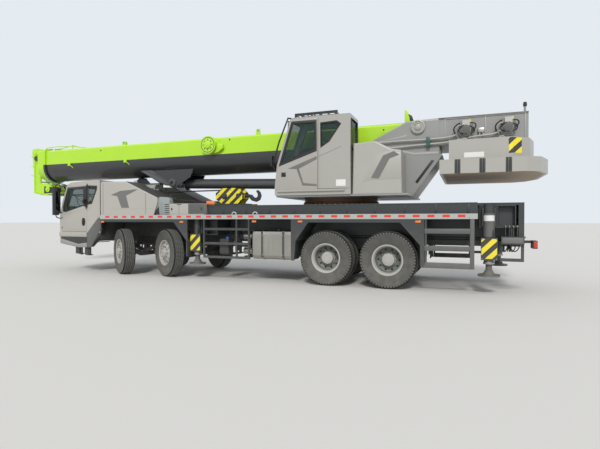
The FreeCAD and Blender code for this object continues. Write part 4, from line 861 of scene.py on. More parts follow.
CAB1_LEAF = [(8.29, 1.13), (8.29, 2.4), (8.99, 2.37), (9.18, 1.84), (9.22, 1.6), (9.22, 1.13)]
CAB1_SURROUND = [
    (8.293, 1.805), (8.293, 2.392), (8.984, 2.362), (9.17, 1.84), (9.176, 1.69), (9.05, 1.68), (8.42, 1.842),
]
CAB1_CREASES = [
    [(9.212, 1.405), (9.212, 1.432), (9.045, 1.3), (9, 1.21), (8.32, 1.21), (8.32, 1.19), (9.012, 1.19), (9.062, 1.282)],
    [(8.31, 1.785), (8.98, 1.652), (9.15, 1.632), (9.15, 1.612), (8.978, 1.632), (8.31, 1.765)],
]
CAB1_DISH = [
    (8.405, 1.285), (8.448, 1.302), (8.468, 1.36), (8.468, 1.44), (8.448, 1.498), (8.405, 1.515), (8.362, 1.498),
    (8.342, 1.44), (8.342, 1.36), (8.362, 1.302),
]


def carrier_doors():
    """Each door: a pressed leaf with a see-through pane in a black surround, handle, creases and hinge knuckles."""
    for side in ("left", "right"):
        body = "carrier_door_" + side
        door = Fitting(body + "_dressed", body, "cream_paint")
        door.put(
            PALE, framed(CAB1_LEAF, CAB1_WINDOW, 1.26, CAB1_Y, 0.006),
            *[side_sheet(outline, 1.299, 1.3035, 0.0015) for outline in CAB1_CREASES])
        door.put(DARK, *[
            round_bar((9.214, 1.302, z - 0.028), (9.214, 1.302, z + 0.028), 0.0105, 14, 0.002) for z in (1.24, 1.52)])
        door.put(GLASS, side_sheet(grown(CAB1_WINDOW, 0.004), 1.277, 1.2815, 0))
        door.put(BLACK, framed(CAB1_SURROUND, CAB1_WINDOW, 1.2995, 1.303, 0.001))
        door.put(SEAL, seal(CAB1_WINDOW, CAB1_Y, 0.012))
        door.put(
            BLACK, side_sheet(CAB1_DISH, 1.2995, 1.305, 0.002),
            pipe([(8.39, 1.3, 1.485), (8.39, 1.335, 1.47), (8.39, 1.335, 1.33), (8.39, 1.3, 1.315)], 0.013))
        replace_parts(door.done(side == "right"), body)


# Housings behind the cab

T_STRIPE = [
    (7.357, 2.12), (7.036, 2.223), (6.444, 2.258), (6.536, 2.211), (6.835, 2.094), (6.737, 1.771), (6.994, 1.774),
    (7.132, 2.085),
]
INTAKE_OUTLINE = [
    (5.895, 1.592), (5.905, 1.8), (5.85, 2.015), (5.78, 2.045), (5.55, 2.03), (5.487, 1.98), (5.47, 1.592),
]


def louvres(material_box, step, count):
    return row_of(material_box, (0, 0, step), count)


def housing_trim():
    trim = Fitting("housing_trim", "carrier", "cream_paint")
    trim.both(DARK_STRIPE_AND_HOLE_SHADE, side_sheet(T_STRIPE, 1.3745, 1.3765, 0.0008, 1))
    trim.both(INTAKE, side_sheet(INTAKE_OUTLINE, 1.18, 1.337, 0.012, 3))
    trim.both(BLACK, louvres(brick((5.495, 5.625), (1.333, 1.3405), (1.63, 1.65), 0.003), 0.052, 5))
    trim.both(INTAKE, louvres(brick((5.65, 5.79), (1.333, 1.342), (1.64, 1.652), 0.003), 0.034, 8))
    trim.both(BLACK, side_sheet([(5.99, 1.592), (5.815, 1.8), (5.79, 1.592)], 1.3365, 1.341, 0.001))
    trim.both(PANEL_AND_SLOT_SHADE, brick((4.47, 4.925), (1.325, 1.331), (1.605, 1.862), 0.002))
    trim.both(DARK_STRIPE_AND_HOLE_SHADE, louvres(brick((4.49, 4.905), (1.33, 1.338), (1.625, 1.637), 0.003), 0.036, 6))
    trim.both(BLACK, brick((5.13, 5.26), (1.328, 1.334), (1.832, 1.85), 0.003))
    trim.both(CASTING, side_sheet([(6.85, 2.4655), (5.815, 2.0065), (5.812, 2.014), (6.847, 2.473)], 0.55, 1.352, 0.001))
    trim.both(CASTING, *[
        groove([(s, y, 1.6), (s, y, top)], 0.0035)
        for s, y, top in ((7.62, 1.3755, 2.44), (6.2, 1.3755, 2.14), (5.2, 1.331, 1.85))])
    trim.both(PALE, groove([(7.29, 1.3755, 1.757), (5.87, 1.3755, 1.748)], 0.005))
    trim.both(BLACK, *[brick((s, s + 0.035), (1.329, 1.338), (1.7, 1.76), 0.003) for s in (4.52, 5.4)])
    trim.put(SEAL, brick((7.41, 7.53), (-0.118, 0.118), (2.66, 2.696), 0.006))
    trim.put(PALE, brick((7.402, 7.52), (0.285, 0.334), (2.2, 2.6), 0.01))
    trim.put(TANK, turned([
        (0, -0.25), (0.13, -0.25), (0.15, -0.235), (0.15, 0.1), (0.155, 0.105), (0.155, 0.13), (0.15, 0.135),
        (0.14, 0.26), (0.06, 0.28), (0, 0.28),
    ], at(6.64, 0.66, 2.3), X_AXIS, 28))
    trim.put(RING, cap([
        (0.065, 0), (0.065, 0.52), (0.05, 0.56), (0.045, 0.56), (0.045, 0.3), (0, 0.3),
    ], (7.3, -0.62, 2.1), Z_AXIS))
    trim.put(
        DARK,
        brick((6.34, 6.4), (0.5, 0.56), (1.58, 2.48), 0.005),
        brick((6.86, 6.92), (0.5, 0.56), (1.58, 2.48), 0.005),
        brick((6.34, 6.92), (0.5, 0.56), (2.42, 2.48), 0.005),
        brick((6.34, 6.92), (0.5, 0.85), (2.07, 2.1), 0.005))
    trim.put(
        SEAL,
        pipe([(6.92, 0.66, 2.3), (7.05, 0.6, 2.28), (7.1, 0.45, 2.1), (7.1, 0.3, 1.7)], 0.05),
        pipe([(6.3, 0.7, 2.3), (6.15, 0.66, 2.28), (6.05, 0.6, 2), (6.05, 0.45, 1.62)], 0.035),
        pipe([(6.6, 0.45, 2.05), (6.4, 0.42, 1.85), (6, 0.42, 1.8), (5.5, 0.44, 1.66)], 0.018),
        pipe([(6.6, 0.38, 2.02), (6.4, 0.36, 1.8), (6, 0.36, 1.76), (5.5, 0.37, 1.66)], 0.018))
    trim.done()


# Deck edge, side lamps and underframe fittings

DECK_REAR = -1.75
DASH_FRONT = 7.54
DASH_PERIOD = 0.288
SIDE_LAMPS = [(7.64, 1.405), (5.09, 1.405), (3.072, 1.42), (1.926, 1.42), (-0.63, 1.42)]
EDGE_BOLTS = (-1.6, -0.4, 0.3, 1.1, 1.9, 2.6, 3.3, 4, 4.7, 5.4, 6.6, 7.3)


def stirrup(s, y, low, high, half, radius):
    """Bent eye that stands on a deck."""
    return pipe([(s - half, y, low), (s - half, y, high), (s + half, y, high), (s + half, y, low)], radius)


def deck_edge():
    """Pale reflective band with red dashes, edge lip, tie-down rings and orange side lamps."""
    edge = Fitting("deck_edge", "carrier", "dark_paint")
    dash = brick((7.402, DASH_FRONT), (1.38, 1.3826), (1.508, 1.562), 0.0005, 1)
    edge.both(RED, row_of(dash, (-DASH_PERIOD, 0, 0), int((DASH_FRONT - DECK_REAR) / DASH_PERIOD)))
    edge.both(BAND, brick((DECK_REAR, 7.725), (1.37, 1.3812), (1.474, 1.5815), 0.001, 1))
    edge.both(WHITE, *[stirrup(s, 1.33, 1.582, 1.64, 0.055, 0.009) for s in (3.07, 3.63)])
    for s, z in SIDE_LAMPS:
        edge.both(AMBER, brick((s - 0.055, s + 0.055), (1.374, 1.388), (z - 0.022, z + 0.022), 0.006))
    edge.both(DARK, brick((4.24, 4.49), (1.13, 1.2), (1.77, 1.84)))
    edge.both(AMBER, brick((4.25, 4.485), (1.14, 1.205), (1.838, 1.925), 0.014, 3))
    edge.both(
        PANEL_AND_SLOT_SHADE,
        *[brick((-1.625, -0.755), (1.338, 1.3745), z, 0.006) for z in ((1.182, 1.282), (0.836, 0.938), (0.49, 0.602))],
        brick((-1.692, -1.61), (1.338, 1.3745), (0.49, 1.474), 0.006))
    edge.both(DARK, brick((DECK_REAR, 4.45), (1.192, 1.204), (1.775, 1.806), 0.003))
    edge.both(DARK, row_of(brick((-1.6, -1.56), (1.199, 1.21), (1.59, 1.775), 0.003), (0.62, 0, 0), 10))
    edge.both(STEEL, bolts([(s, 1.375, 1.5) for s in EDGE_BOLTS], 0.014, 0.008))
    edge.done()


def underframe():
    """Tank cap and hoses, mud flaps, tail lamps' lenses, blank plate and rear couplings."""
    under = Fitting("underframe_fittings", "carrier", "dark_paint")
    under.both(BLACK, cap([(0.052, 0), (0.052, 0.03), (0.045, 0.04), (0, 0.042)], (2.58, 1.05, 1.205), Z_AXIS))
    under.both(STEEL, bolts([(s, 1.306, z) for s in (2.383, 2.883) for z in (0.64, 1.1)], 0.016, 0.012))
    under.both(DARK, *[brick((s - 0.027, s + 0.027), (1.296, 1.3085), (0.58, 1.185), 0.003) for s in (2.37, 2.9)])
    under.both(TANK, *[
        pipe([(s, 1.297, 0.66), (s, 1.301, 0.75), (s, 1.301, 1.02), (s, 1.297, 1.1)], 0.004, sides=1)
        for s in (2.62, 2.74)])
    under.both(SEAL, *[
        side_sheet([(s, low), (s, 0.95), (back, 0.95), (back, low)], near, far, 0.002)
        for s, back, low, near, far in ((-0.7, -0.716, 0.49, 0.86, 1.33), (4.905, 4.921, 0.52, 1.02, 1.36))])
    for material, y in ((AMBER, (0.905, 1.01)), (RED_LENS, (1.015, 1.12)), (CLEAR_LENS, (1.125, 1.215))):
        under.both(material, brick((-2.806, -2.799), y, (0.92, 1.05)))
    under.both(CASTING, *[
        turned([
            (0, -0.09), (0.07, -0.09), (0.085, -0.03), (0.092, -0.01), (0.092, 0.01), (0.085, 0.03), (0.07, 0.1),
            (0, 0.11),
        ], at(s, 0.56, 0.7), X_AXIS, 20)
        for s in (1.13, -0.22)])
    for s in (7.06, 5.59):
        under.both(
            CASTING, round_bar((s + 0.16, 0.62, 0.62), (s + 0.3, 0.52, 1.1), 0.035),
            round_bar((s + 0.12, 0.65, 0.48), (s + 0.2, 0.59, 0.76), 0.022))
    for y, rise, radius in ((0.445, 0, 0.014), (0.45, 0.05, 0.011)):
        under.both(SEAL, pipe([
            (-2.3, y, 1.02 + rise), (0.2, y, 1.04 + rise), (1.9, y, 1.03 + rise), (2.1, y, 1.1 + rise),
            (4.2, y, 1.1 + rise),
        ], radius))
    under.both(
        SEAL, pipe([(3.45, 1.1, 1.15), (3.6, 1, 1.22), (3.8, 0.8, 1.2), (3.9, 0.46, 1.18)], 0.01),
        pipe([(3.45, 1.1, 0.79), (3.62, 1, 0.95), (3.8, 0.8, 1.05), (3.9, 0.46, 1.12)], 0.01))
    under.both(CASTING, side_sheet([(5.05, 1), (5.05, 1.56), (7.74, 1.56), (7.74, 1.14), (7.5, 1)], 0.452, 0.46, 0.002))
    under.both(RED_LENS, brick((-2.798, -2.738), (1.212, 1.226), (0.925, 1.05), 0.005))
    under.put(
        CASTING, brick((5.25, 7.45), (-0.33, 0.33), (0.745, 0.985), 0.045, 3),
        brick((5.78, 6.88), (-0.31, 0.31), (0.52, 0.8), 0.045, 3),
        row_of(brick((5.4, 5.44), (-0.335, 0.335), (0.74, 0.9), 0.006), (0.22, 0, 0), 9))
    under.put(BLACK, brick((3.81, 4.07), (1.03, 1.28), (0.62, 1), 0.03, 4))
    under.put(BLUE, cap([(0.04, 0), (0.04, 0.045), (0.034, 0.052), (0, 0.054)], (3.9, 1.16, 0.995), Z_AXIS, 22))
    under.put(DARK, brick((3.8, 4.08), (0.43, 1.1), (0.6, 0.625)), brick((3.9, 3.95), (0.43, 0.5), (0.6, 0.95)))
    under.put(WHITE, brick((-2.608, -2.602), (-0.27, 0.27), (1.2, 1.36), 0.002))
    under.put(STEEL, pipe([
        (-2.6, -0.09, 1.08), (-2.7, -0.08, 1.08), (-2.74, 0, 1.08), (-2.7, 0.08, 1.08), (-2.6, 0.09, 1.08),
    ], 0.022))
    for material, first, count in ((RED, -0.95, 5), (WHITE, -0.76, 4)):
        starts = [first + 0.38 * index for index in range(count)]
        under.put(material, *[brick((-2.612, -2.602), (y, y + 0.18), (1.62, 1.7), 0.001, 1) for y in starts])
    under.done()


JACK_Y = 1.15


def outrigger_marks():
    """Striped plates on the jack sleeves, collars round the rods and bolts on the pads."""
    for end, foremost, top in (("front", 4.77, 1.478), ("rear", -1.96, 1.748)):
        for side in ("left", "right"):
            s = foremost if side == "left" else foremost - 0.32
            body = "outrigger_inner_%s_%s" % (end, side)
            marks = Fitting(body + "_marks", body, "dark_paint")
            marks.put(HAZARD, brick((s - 0.14, s + 0.14), (1.261, 1.266), (0.7, 1.085), 0.001, 1))
            marks.put(STEEL, turned([
                (0.06, 0), (0.105, 0), (0.105, 0.035), (0.092, 0.05), (0.092, 0.08),
            ], at(s, JACK_Y, 0.59), Z_AXIS, 28))
            marks.put(DARK, cap([(0.1, 0), (0.1, 0.02), (0, 0.02)], (s, JACK_Y, top), Z_AXIS, 28))
            marks.put(STEEL, bolts([(s + a, 1.245, z) for a in (-0.13, 0.13) for z in (0.7, 1.08)], 0.011, 0.03))
            marks.put(SEAL, pipe([
                (-0.06, 1.24, 1.05), (-0.08, 1.255, 1.16), (-0.07, 1.21, 1.28), (-0.02, 1.16, 1.4)], 0.012, s))
            if end == "rear":
                sleeve, tag = [
                    turned([(inner, low), (outer, low), (outer, high), (inner, high), (inner, low)],
                           at(s, JACK_Y, 0), Z_AXIS)
                    for inner, outer, low, high in ((0.099, 0.1035, 1.125, 1.585), (0.102, 0.1047, 1.435, 1.545))]
                marks.put(JACK, sleeve)
                marks.put(WHITE, cut_by(tag, brick((s - 0.2, s + 0.2), (1, 1.185), (1.3, 1.7), 0)))
            marks.done(side == "right")


def control_levers():
    """Knobs, a lid and hoses at the lever banks."""
    for side, start in (("left", -2.59), ("right", -2.11)):
        levers = Fitting("control_levers_" + side, "carrier", "dark_paint")
        levers.put(STEEL, *[
            turned([(0, -0.022), (0.013, -0.02), (0.02, -0.005), (0.019, 0.008), (0, 0.022)],
                   at(start + 0.12 + 0.07 * index, 1.06, 1.335), Z_AXIS, 14)
            for index in range(4)])
        levers.put(SEAL, *[
            pipe([(0.08 + 0.07 * index, 1.03, 0.985), (0.08 + 0.07 * index, 1.02, 0.88),
                  (0.2 + 0.03 * index, 0.95, 0.8), (0.25, 0.8, 0.98)], 0.01, start)
            for index in range(5)])
        levers.put(DARK_STRIPE_AND_HOLE_SHADE, brick((start + 0.02, start + 0.39), (1.118, 1.128), (1, 1.11), 0.003))
        levers.done(side == "right")


def ring_teeth():
    """Teeth round the slewing ring and the bolts through it."""
    centre = at(1.36, 0, 0)
    ring = Fitting("slew_ring_teeth", "carrier", "cast_iron")
    tooth = plan_sheet([(2.255, -0.013), (2.285, -0.007), (2.285, 0.007), (2.255, 0.013)], 1.805, 1.885, 0)
    ring.put(RING, ring_of(tooth, centre, Z_AXIS, 108))
    ring.put(STEEL, ring_of(cylinder(6, 0.015, 0.03, at(2.325, 0, 1.815)), centre, Z_AXIS, 48))
    ring.done()


# Operator's cab

CAB2_Y = 1.375
DOOR_Y = 1.415
CAB2_DOOR_GLASS = [(1.565, 3.024), (1.565, 3.602), (2.088, 3.602), (2.362, 2.736)]
CAB2_SIDE_GLASS = [(1.44, 3.053), (1.44, 3.577), (1.085, 3.59), (1, 3.53), (1.259, 3.176)]
CAB2_FAR_GLASS = [(1, 2.9), (1, 3.6), (2.04, 3.6), (2.3, 2.85)]


def operator_cab_trim():
    trim = Fitting("operator_cab_trim", "superstructure", "grey_paint")
    trim.put(
        SEAL, seal(CAB2_SIDE_GLASS, CAB2_Y, 0.024, 0.35), seal(CAB2_FAR_GLASS, 0.625, 0.02, 0.35),
        pane_seal([
            (2.165, 0.69, 3.665), (2.165, 1.31, 3.665), (2.487, 1.31, 2.705), (2.52, 1.31, 2.4), (2.52, 0.69, 2.4),
            (2.487, 0.69, 2.705),
        ], 0.018),
        pane_seal([(0.783, 0.735, 3.65), (0.783, 1.265, 3.65), (0.779, 1.265, 3), (0.779, 0.735, 3)], 0.018))
    rack = [
        pipe([(2.075, y, 3.75), (2.055, y, 3.8), (2, y, 3.838), (1.2, y, 3.838), (1.1, y, 3.8), (1.075, y, 3.75)], 0.014)
        for y in (0.7, 1.3)]
    rack += [rod([(s, 0.7, 3.838), (s, 1.3, 3.838)], 0.011) for s in (1.2, 1.36, 1.52, 1.68, 1.84, 2)]
    rack += [rod([(1.2, y, 3.838), (2, y, 3.838)], 0.009) for y in (0.85, 1, 1.15)]
    trim.put(BLACK, *rack)
    wiper = [
        pipe([(2.33, 1.1, 3.74), (2.3, 1.12, 3.6), (2.4, 1.13, 3.2), (2.47, 1.14, 2.95)], 0.01),
        rod([(2.275, 1.18, 3.45), (2.495, 1.19, 2.78)], 0.009),
        rod([(2.2, 1.1, 3.7), (2.33, 1.1, 3.74)], 0.014)]
    mirror = [
        rod([(2.15, 1.36, 3.735), (2.199, 1.42, 3.735), (2.418, 1.42, 3.213), (2.56, 1.42, 2.76)], 0.019),
        pipe([(2.53, 1.4, 2.6), (2.58, 1.44, 2.66), (2.58, 1.44, 2.92)], 0.011),
        brick((2.565, 2.6), (1.36, 1.5), (2.66, 2.92), 0.012, 3)]
    lamp = [
        turned([(0, -0.05), (0.05, -0.05), (0.07, -0.01), (0.07, 0.02), (0, 0.025)], at(2.24, 0.78, 3.8), X_AXIS, 20),
        rod([(2.14, 0.78, 3.75), (2.22, 0.78, 3.8)], 0.012)]
    trim.put(BLACK, *wiper, *mirror, *lamp)
    trim.put(CLEAR_LENS, cap([(0.062, 0), (0.055, 0.012), (0, 0.018)], (2.262, 0.78, 3.8), X_AXIS, 20))
    trim.put(CASTING, groove([(0.8, 1.3755, 2.14), (2.52, 1.3755, 2.14)], 0.004))
    trim.put(GREY, groove([(0.99, 1.374, 3.054), (1.2, 1.374, 2.965), (1.49, 1.374, 2.86)], 0.012))
    trim.put(WHITE, brick((0.88, 1.095), (1.374, 1.378), (2.19, 2.33), 0.001, 1))
    trim.done()


CAB2_LEAF = [(1.508, 2.127), (1.508, 3.7), (2.131, 3.7), (2.449, 2.7), (2.476, 2.127)]
CAB2_SURROUND = [(1.52, 2.965), (1.52, 3.655), (2.118, 3.655), (2.432, 2.66)]
CAB2_CREASE = [
    (2.203, 2.605), (1.674, 2.798), (1.52, 2.858), (1.52, 2.79), (1.94, 2.594), (1.829, 2.276), (1.521, 2.243),
    (1.521, 2.2), (1.854, 2.222), (1.994, 2.59),
]


def operator_door_trim():
    """The sliding door: a leaf with a see-through pane in a black surround, crease strips and a recessed handle."""
    door = Fitting("operator_door_dressed", "operator_door", "grey_paint")
    door.put(CAB, framed(CAB2_LEAF, CAB2_DOOR_GLASS, 1.381, DOOR_Y, 0.005))
    door.put(GLASS, side_sheet(grown(CAB2_DOOR_GLASS, 0.004), 1.3955, 1.4005, 0))
    door.put(BLACK, framed(CAB2_SURROUND, CAB2_DOOR_GLASS, 1.4145, 1.4185, 0.001))
    door.put(SEAL, seal(CAB2_DOOR_GLASS, DOOR_Y, 0.02, 0.4))
    door.put(DARK_STRIPE_AND_HOLE_SHADE, side_sheet(CAB2_CREASE, 1.412, 1.4195, 0.002))
    door.put(
        BLACK, brick((2.255, 2.365), (1.4145, 1.4195), (2.425, 2.525), 0.003),
        pipe([(2.345, 1.418, 2.5), (2.345, 1.445, 2.49), (2.28, 1.445, 2.46), (2.28, 1.418, 2.45)], 0.01))
    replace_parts(door.done(), "operator_door")


# Superstructure

def superstructure_trim():
    trim = Fitting("superstructure_trim", "superstructure", "grey_paint")
    trim.put(DARK_STRIPE_AND_HOLE_SHADE, side_sheet([
        (0.335, 2.34), (0.174, 2.321), (-0.05, 2.73), (-0.25, 2.8), (-0.142, 2.88), (0.082, 2.803),
    ], 1.352, 1.3575, 0.001, 1))
    trim.put(GREY, side_sheet([
        (0.512, 2.258), (0.202, 2.849), (-0.076, 2.89), (-0.284, 2.84), (-0.29, 2.312), (0.322, 2.3),
    ], 1.344, 1.354, 0.004))
    trim.put(BLACK, side_sheet([(-0.835, 2.758), (-0.893, 2.743), (-0.539, 2.257), (-0.491, 2.292)], 0.606, 0.618, 0.002))
    trim.put(
        GREY,
        pipe([(0.3, 0.68, 3.19), (0.112, 0.665, 3.189), (-0.095, 0.665, 3.2), (-0.64, 0.665, 3.195),
              (-1.276, 0.665, 3.209), (-1.33, 0.665, 3.26)], 0.021),
        pipe([(0.2, 0.68, 3.05), (-0.054, 0.665, 3.055), (-0.501, 0.665, 3.085), (-1.22, 0.665, 3.105),
              (-1.426, 0.665, 3.159), (-1.757, 0.665, 3.206), (-2.12, 0.665, 3.22), (-2.18, 0.665, 3.29)], 0.021))
    trim.put(GREEN, brick((-0.81, -0.73), (0.61, 0.7), (3.03, 3.25), 0.008))
    trim.both(GREY, turned([
        (0.07, 0), (0.15, 0), (0.15, 0.02), (0.135, 0.028), (0.118, 0.028), (0.114, 0.012), (0.084, 0.012),
        (0.08, 0.034), (0.07, 0.034),
    ], at(-0.55, 0.64, 3.49), Y_AXIS, 36))
    trim.both(STEEL, bolt_circle(-0.55, 0.668, 3.49, 0.127, 10, 0.01, 0.008))
    trim.both(GREY, *[
        side_sheet([(s, 3.09), (s, 3.63), (s + 0.02, 3.63), (s + 0.02, 3.09)], 0.598, 0.612)
        for s in (-1.12, -1.92, -2.66)])
    trim.both(
        GREY,
        side_sheet([(-0.99, 2.93), (-0.45, 2.93), (0.4, 3.2), (0.44, 3.17), (-0.44, 2.88), (-0.99, 2.88)],
                   0.608, 0.616, 0.002),
        side_sheet([(0.435, 3.265), (-0.302, 3.629), (-0.976, 3.632), (-0.976, 3.598), (-0.31, 3.595), (0.405, 3.243)],
                   0.598, 0.613, 0.002),
        side_sheet([(-0.303, 3.33), (0.319, 3.228), (0.319, 3.204), (-0.303, 3.306)], 0.598, 0.611, 0.002),
        side_sheet([(-1.103, 3.642), (-2.685, 3.651), (-2.685, 3.618), (-1.103, 3.609)], 0.598, 0.616, 0.002))
    trim.put(BLACK, cap([(0.032, 0), (0.038, 0.03), (0.03, 0.085), (0, 0.095)], (-2.644, 0.59, 3.755), Z_AXIS, 20))
    trim.done()


def counterweight_trim():
    trim = Fitting("counterweight_trim", "superstructure", "grey_paint")
    trim.both(
        HAZARD,
        side_sheet([(-2.296, 3.044), (-2.376, 3.05), (-2.376, 2.748), (-2.304, 2.744)], 1.199, 1.204, 0.001, 1),
        plan_sheet([(-2.38, 1.203), (-2.54, 1.053), (-2.537, 1.049), (-2.377, 1.199)], 2.748, 3.045, 0.0008, 1))
    trim.both(WHITE, brick((-1.864, -1.496), (1.199, 1.202), (2.695, 2.795), 0.001, 1))
    # Each slot is a flat dark plate on the side in place of a recess: painted shade.
    for s in (-1.376, -1.827, -2.288):
        trim.both(PANEL_AND_SLOT_SHADE, brick((s - 0.056, s + 0.056), (1.348, 1.3525), (2.372, 2.65), 0.002))
        trim.both(DARK, *[
            round_bar((s + aside, 1.352, 2.372), (s + aside, 1.352, 2.648), 0.014) for aside in (-0.022, 0.022)])
    trim.both(GREY, *[stirrup(s, 0.95, 3.055, 3.12, 0.05, 0.016) for s in (-1.5, -2.2)])
    trim.put(TAN, plan_sheet([
        (-1.1, -1.3), (-2.58, -1.3), (-2.8, -1.12), (-2.98, -0.62), (-2.98, 0.62), (-2.8, 1.12), (-2.58, 1.3),
        (-1.1, 1.3),
    ], 2.362, 2.372, 0.001, 1))
    trim.done()


WINCH_Z = 3.34
COIL_HALF = 0.505
COIL_TURNS = 26

# The hoses at each winch: points counted from the drum's middle, radius and material
WINCH_HOSES = [
    ([(0.17, 0.64, 3.24), (0.24, 0.69, 3.3), (0.24, 0.74, 3.42), (0.12, 0.77, 3.48)], 0.013, SEAL),
    ([(-0.14, 0.66, 3.34), (-0.2, 0.71, 3.38), (-0.18, 0.75, 3.48), (-0.06, 0.77, 3.47)], 0.012, SEAL),
    ([(-0.1, 0.7, 3.26), (-0.17, 0.74, 3.28), (-0.16, 0.79, 3.38), (-0.04, 0.81, 3.4)], 0.01, SEAL),
    ([(0.06, 0.72, 3.25), (0.14, 0.77, 3.27), (0.15, 0.81, 3.36), (0.04, 0.82, 3.42)], 0.01, SEAL),
    ([(0.17, 0.66, 3.22), (0.2, 0.7, 3.3), (0.19, 0.74, 3.4), (0.11, 0.74, 3.44), (0.02, 0.74, 3.44)], 0.017, GREY),
    ([(-0.02, 0.72, 3.22), (-0.06, 0.78, 3.26), (-0.1, 0.8, 3.34), (-0.05, 0.78, 3.42)], 0.013, GREY),
    ([(-0.12, 0.7, 3.4), (-0.13, 0.72, 3.48), (-0.06, 0.74, 3.5), (-0.02, 0.72, 3.47)], 0.01, GREY),
    ([(0.1, 0.7, 3.46), (0.11, 0.72, 3.52), (0.04, 0.74, 3.54), (0, 0.72, 3.47)], 0.01, GREY),
]


def rope_coil(s):
    """Rope wound on a drum, turn beside turn."""
    profile = [(0.192, -COIL_HALF)]
    pitch = 2 * COIL_HALF / COIL_TURNS
    for index in range(COIL_TURNS):
        start = -COIL_HALF + pitch * index
        crown = start + pitch / 2
        profile += [(0.214, start + 0.008), (0.222, crown - 0.005), (0.222, crown + 0.005), (0.206, crown + 0.017)]
    return turned(profile + [(0.192, COIL_HALF)], at(s, 0, WINCH_Z), Y_AXIS, 40)


def winch_gear():
    """Rope wound on the drums, motors with their valves and hoses, and the rope's lead."""
    gear = Fitting("winch_gear", "superstructure", "grey_paint")
    for s in (-1.53, -2.33):
        gear.put(ROPE, rope_coil(s))
        gear.put(ARM, turned([
            (0.095, 0), (0.165, 0), (0.165, 0.03), (0.15, 0.04), (0.13, 0.04), (0.126, 0.07), (0.1, 0.075),
            (0.095, 0.15),
        ], at(s, 0.6, WINCH_Z), Y_AXIS))
        gear.put(STEEL, bolt_circle(s, 0.636, WINCH_Z, 0.148, 12, 0.011, 0.01))
        gear.put(
            PANEL_AND_SLOT_SHADE,
            cap([(0.05, 0), (0.055, 0.02), (0.055, 0.05), (0.085, 0.06), (0.088, 0.12), (0, 0.13)], (s, 0.7, WINCH_Z)),
            brick((s - 0.085, s + 0.085), (0.65, 0.79), (3.405, 3.475), 0.008),
            brick((s - 0.15, s - 0.07), (0.66, 0.76), (3.33, 3.4), 0.006),
            brick((s + 0.08, s + 0.13), (0.66, 0.74), (3.4, 3.47), 0.006))
        for points, radius, material in WINCH_HOSES:
            gear.put(material, pipe(points, radius, s))
        gear.put(YELLOW, cap([(0.018, 0), (0.018, 0.06), (0, 0.072)], (s - 0.08, 0.74, 3.48), Z_AXIS, 12))
    gear.put(STEEL, brick((-1.885, -1.765), (0.6, 0.68), (3.275, 3.37), 0.006))
    gear.put(
        GREY, pipe([(-1.8, 0.66, 3.275), (-1.8, 0.67, 3.23), (-1.78, 0.668, 3.205)], 0.01),
        pipe([(-1.85, 0.66, 3.275), (-1.86, 0.67, 3.24), (-1.9, 0.668, 3.215)], 0.01))
    gear.done()


# Boom

REEL = (4.83, 0.43, 3.435)
ROUND_R = 0.431
ROUND_Z = 3.13
ROUND_STEPS = 18
ROPE_R = 0.0105


def shell_seam(s):
    """Weld seam round the boom's rounded underside."""
    line = [(s, 0.43, 3.14)]
    for step in range(ROUND_STEPS + 1):
        turn = math.pi * step / ROUND_STEPS
        line.append((s, ROUND_R * math.cos(turn), ROUND_Z - ROUND_R * math.sin(turn)))
    return groove(line + [(s, -0.43, 3.14)], 0.004)


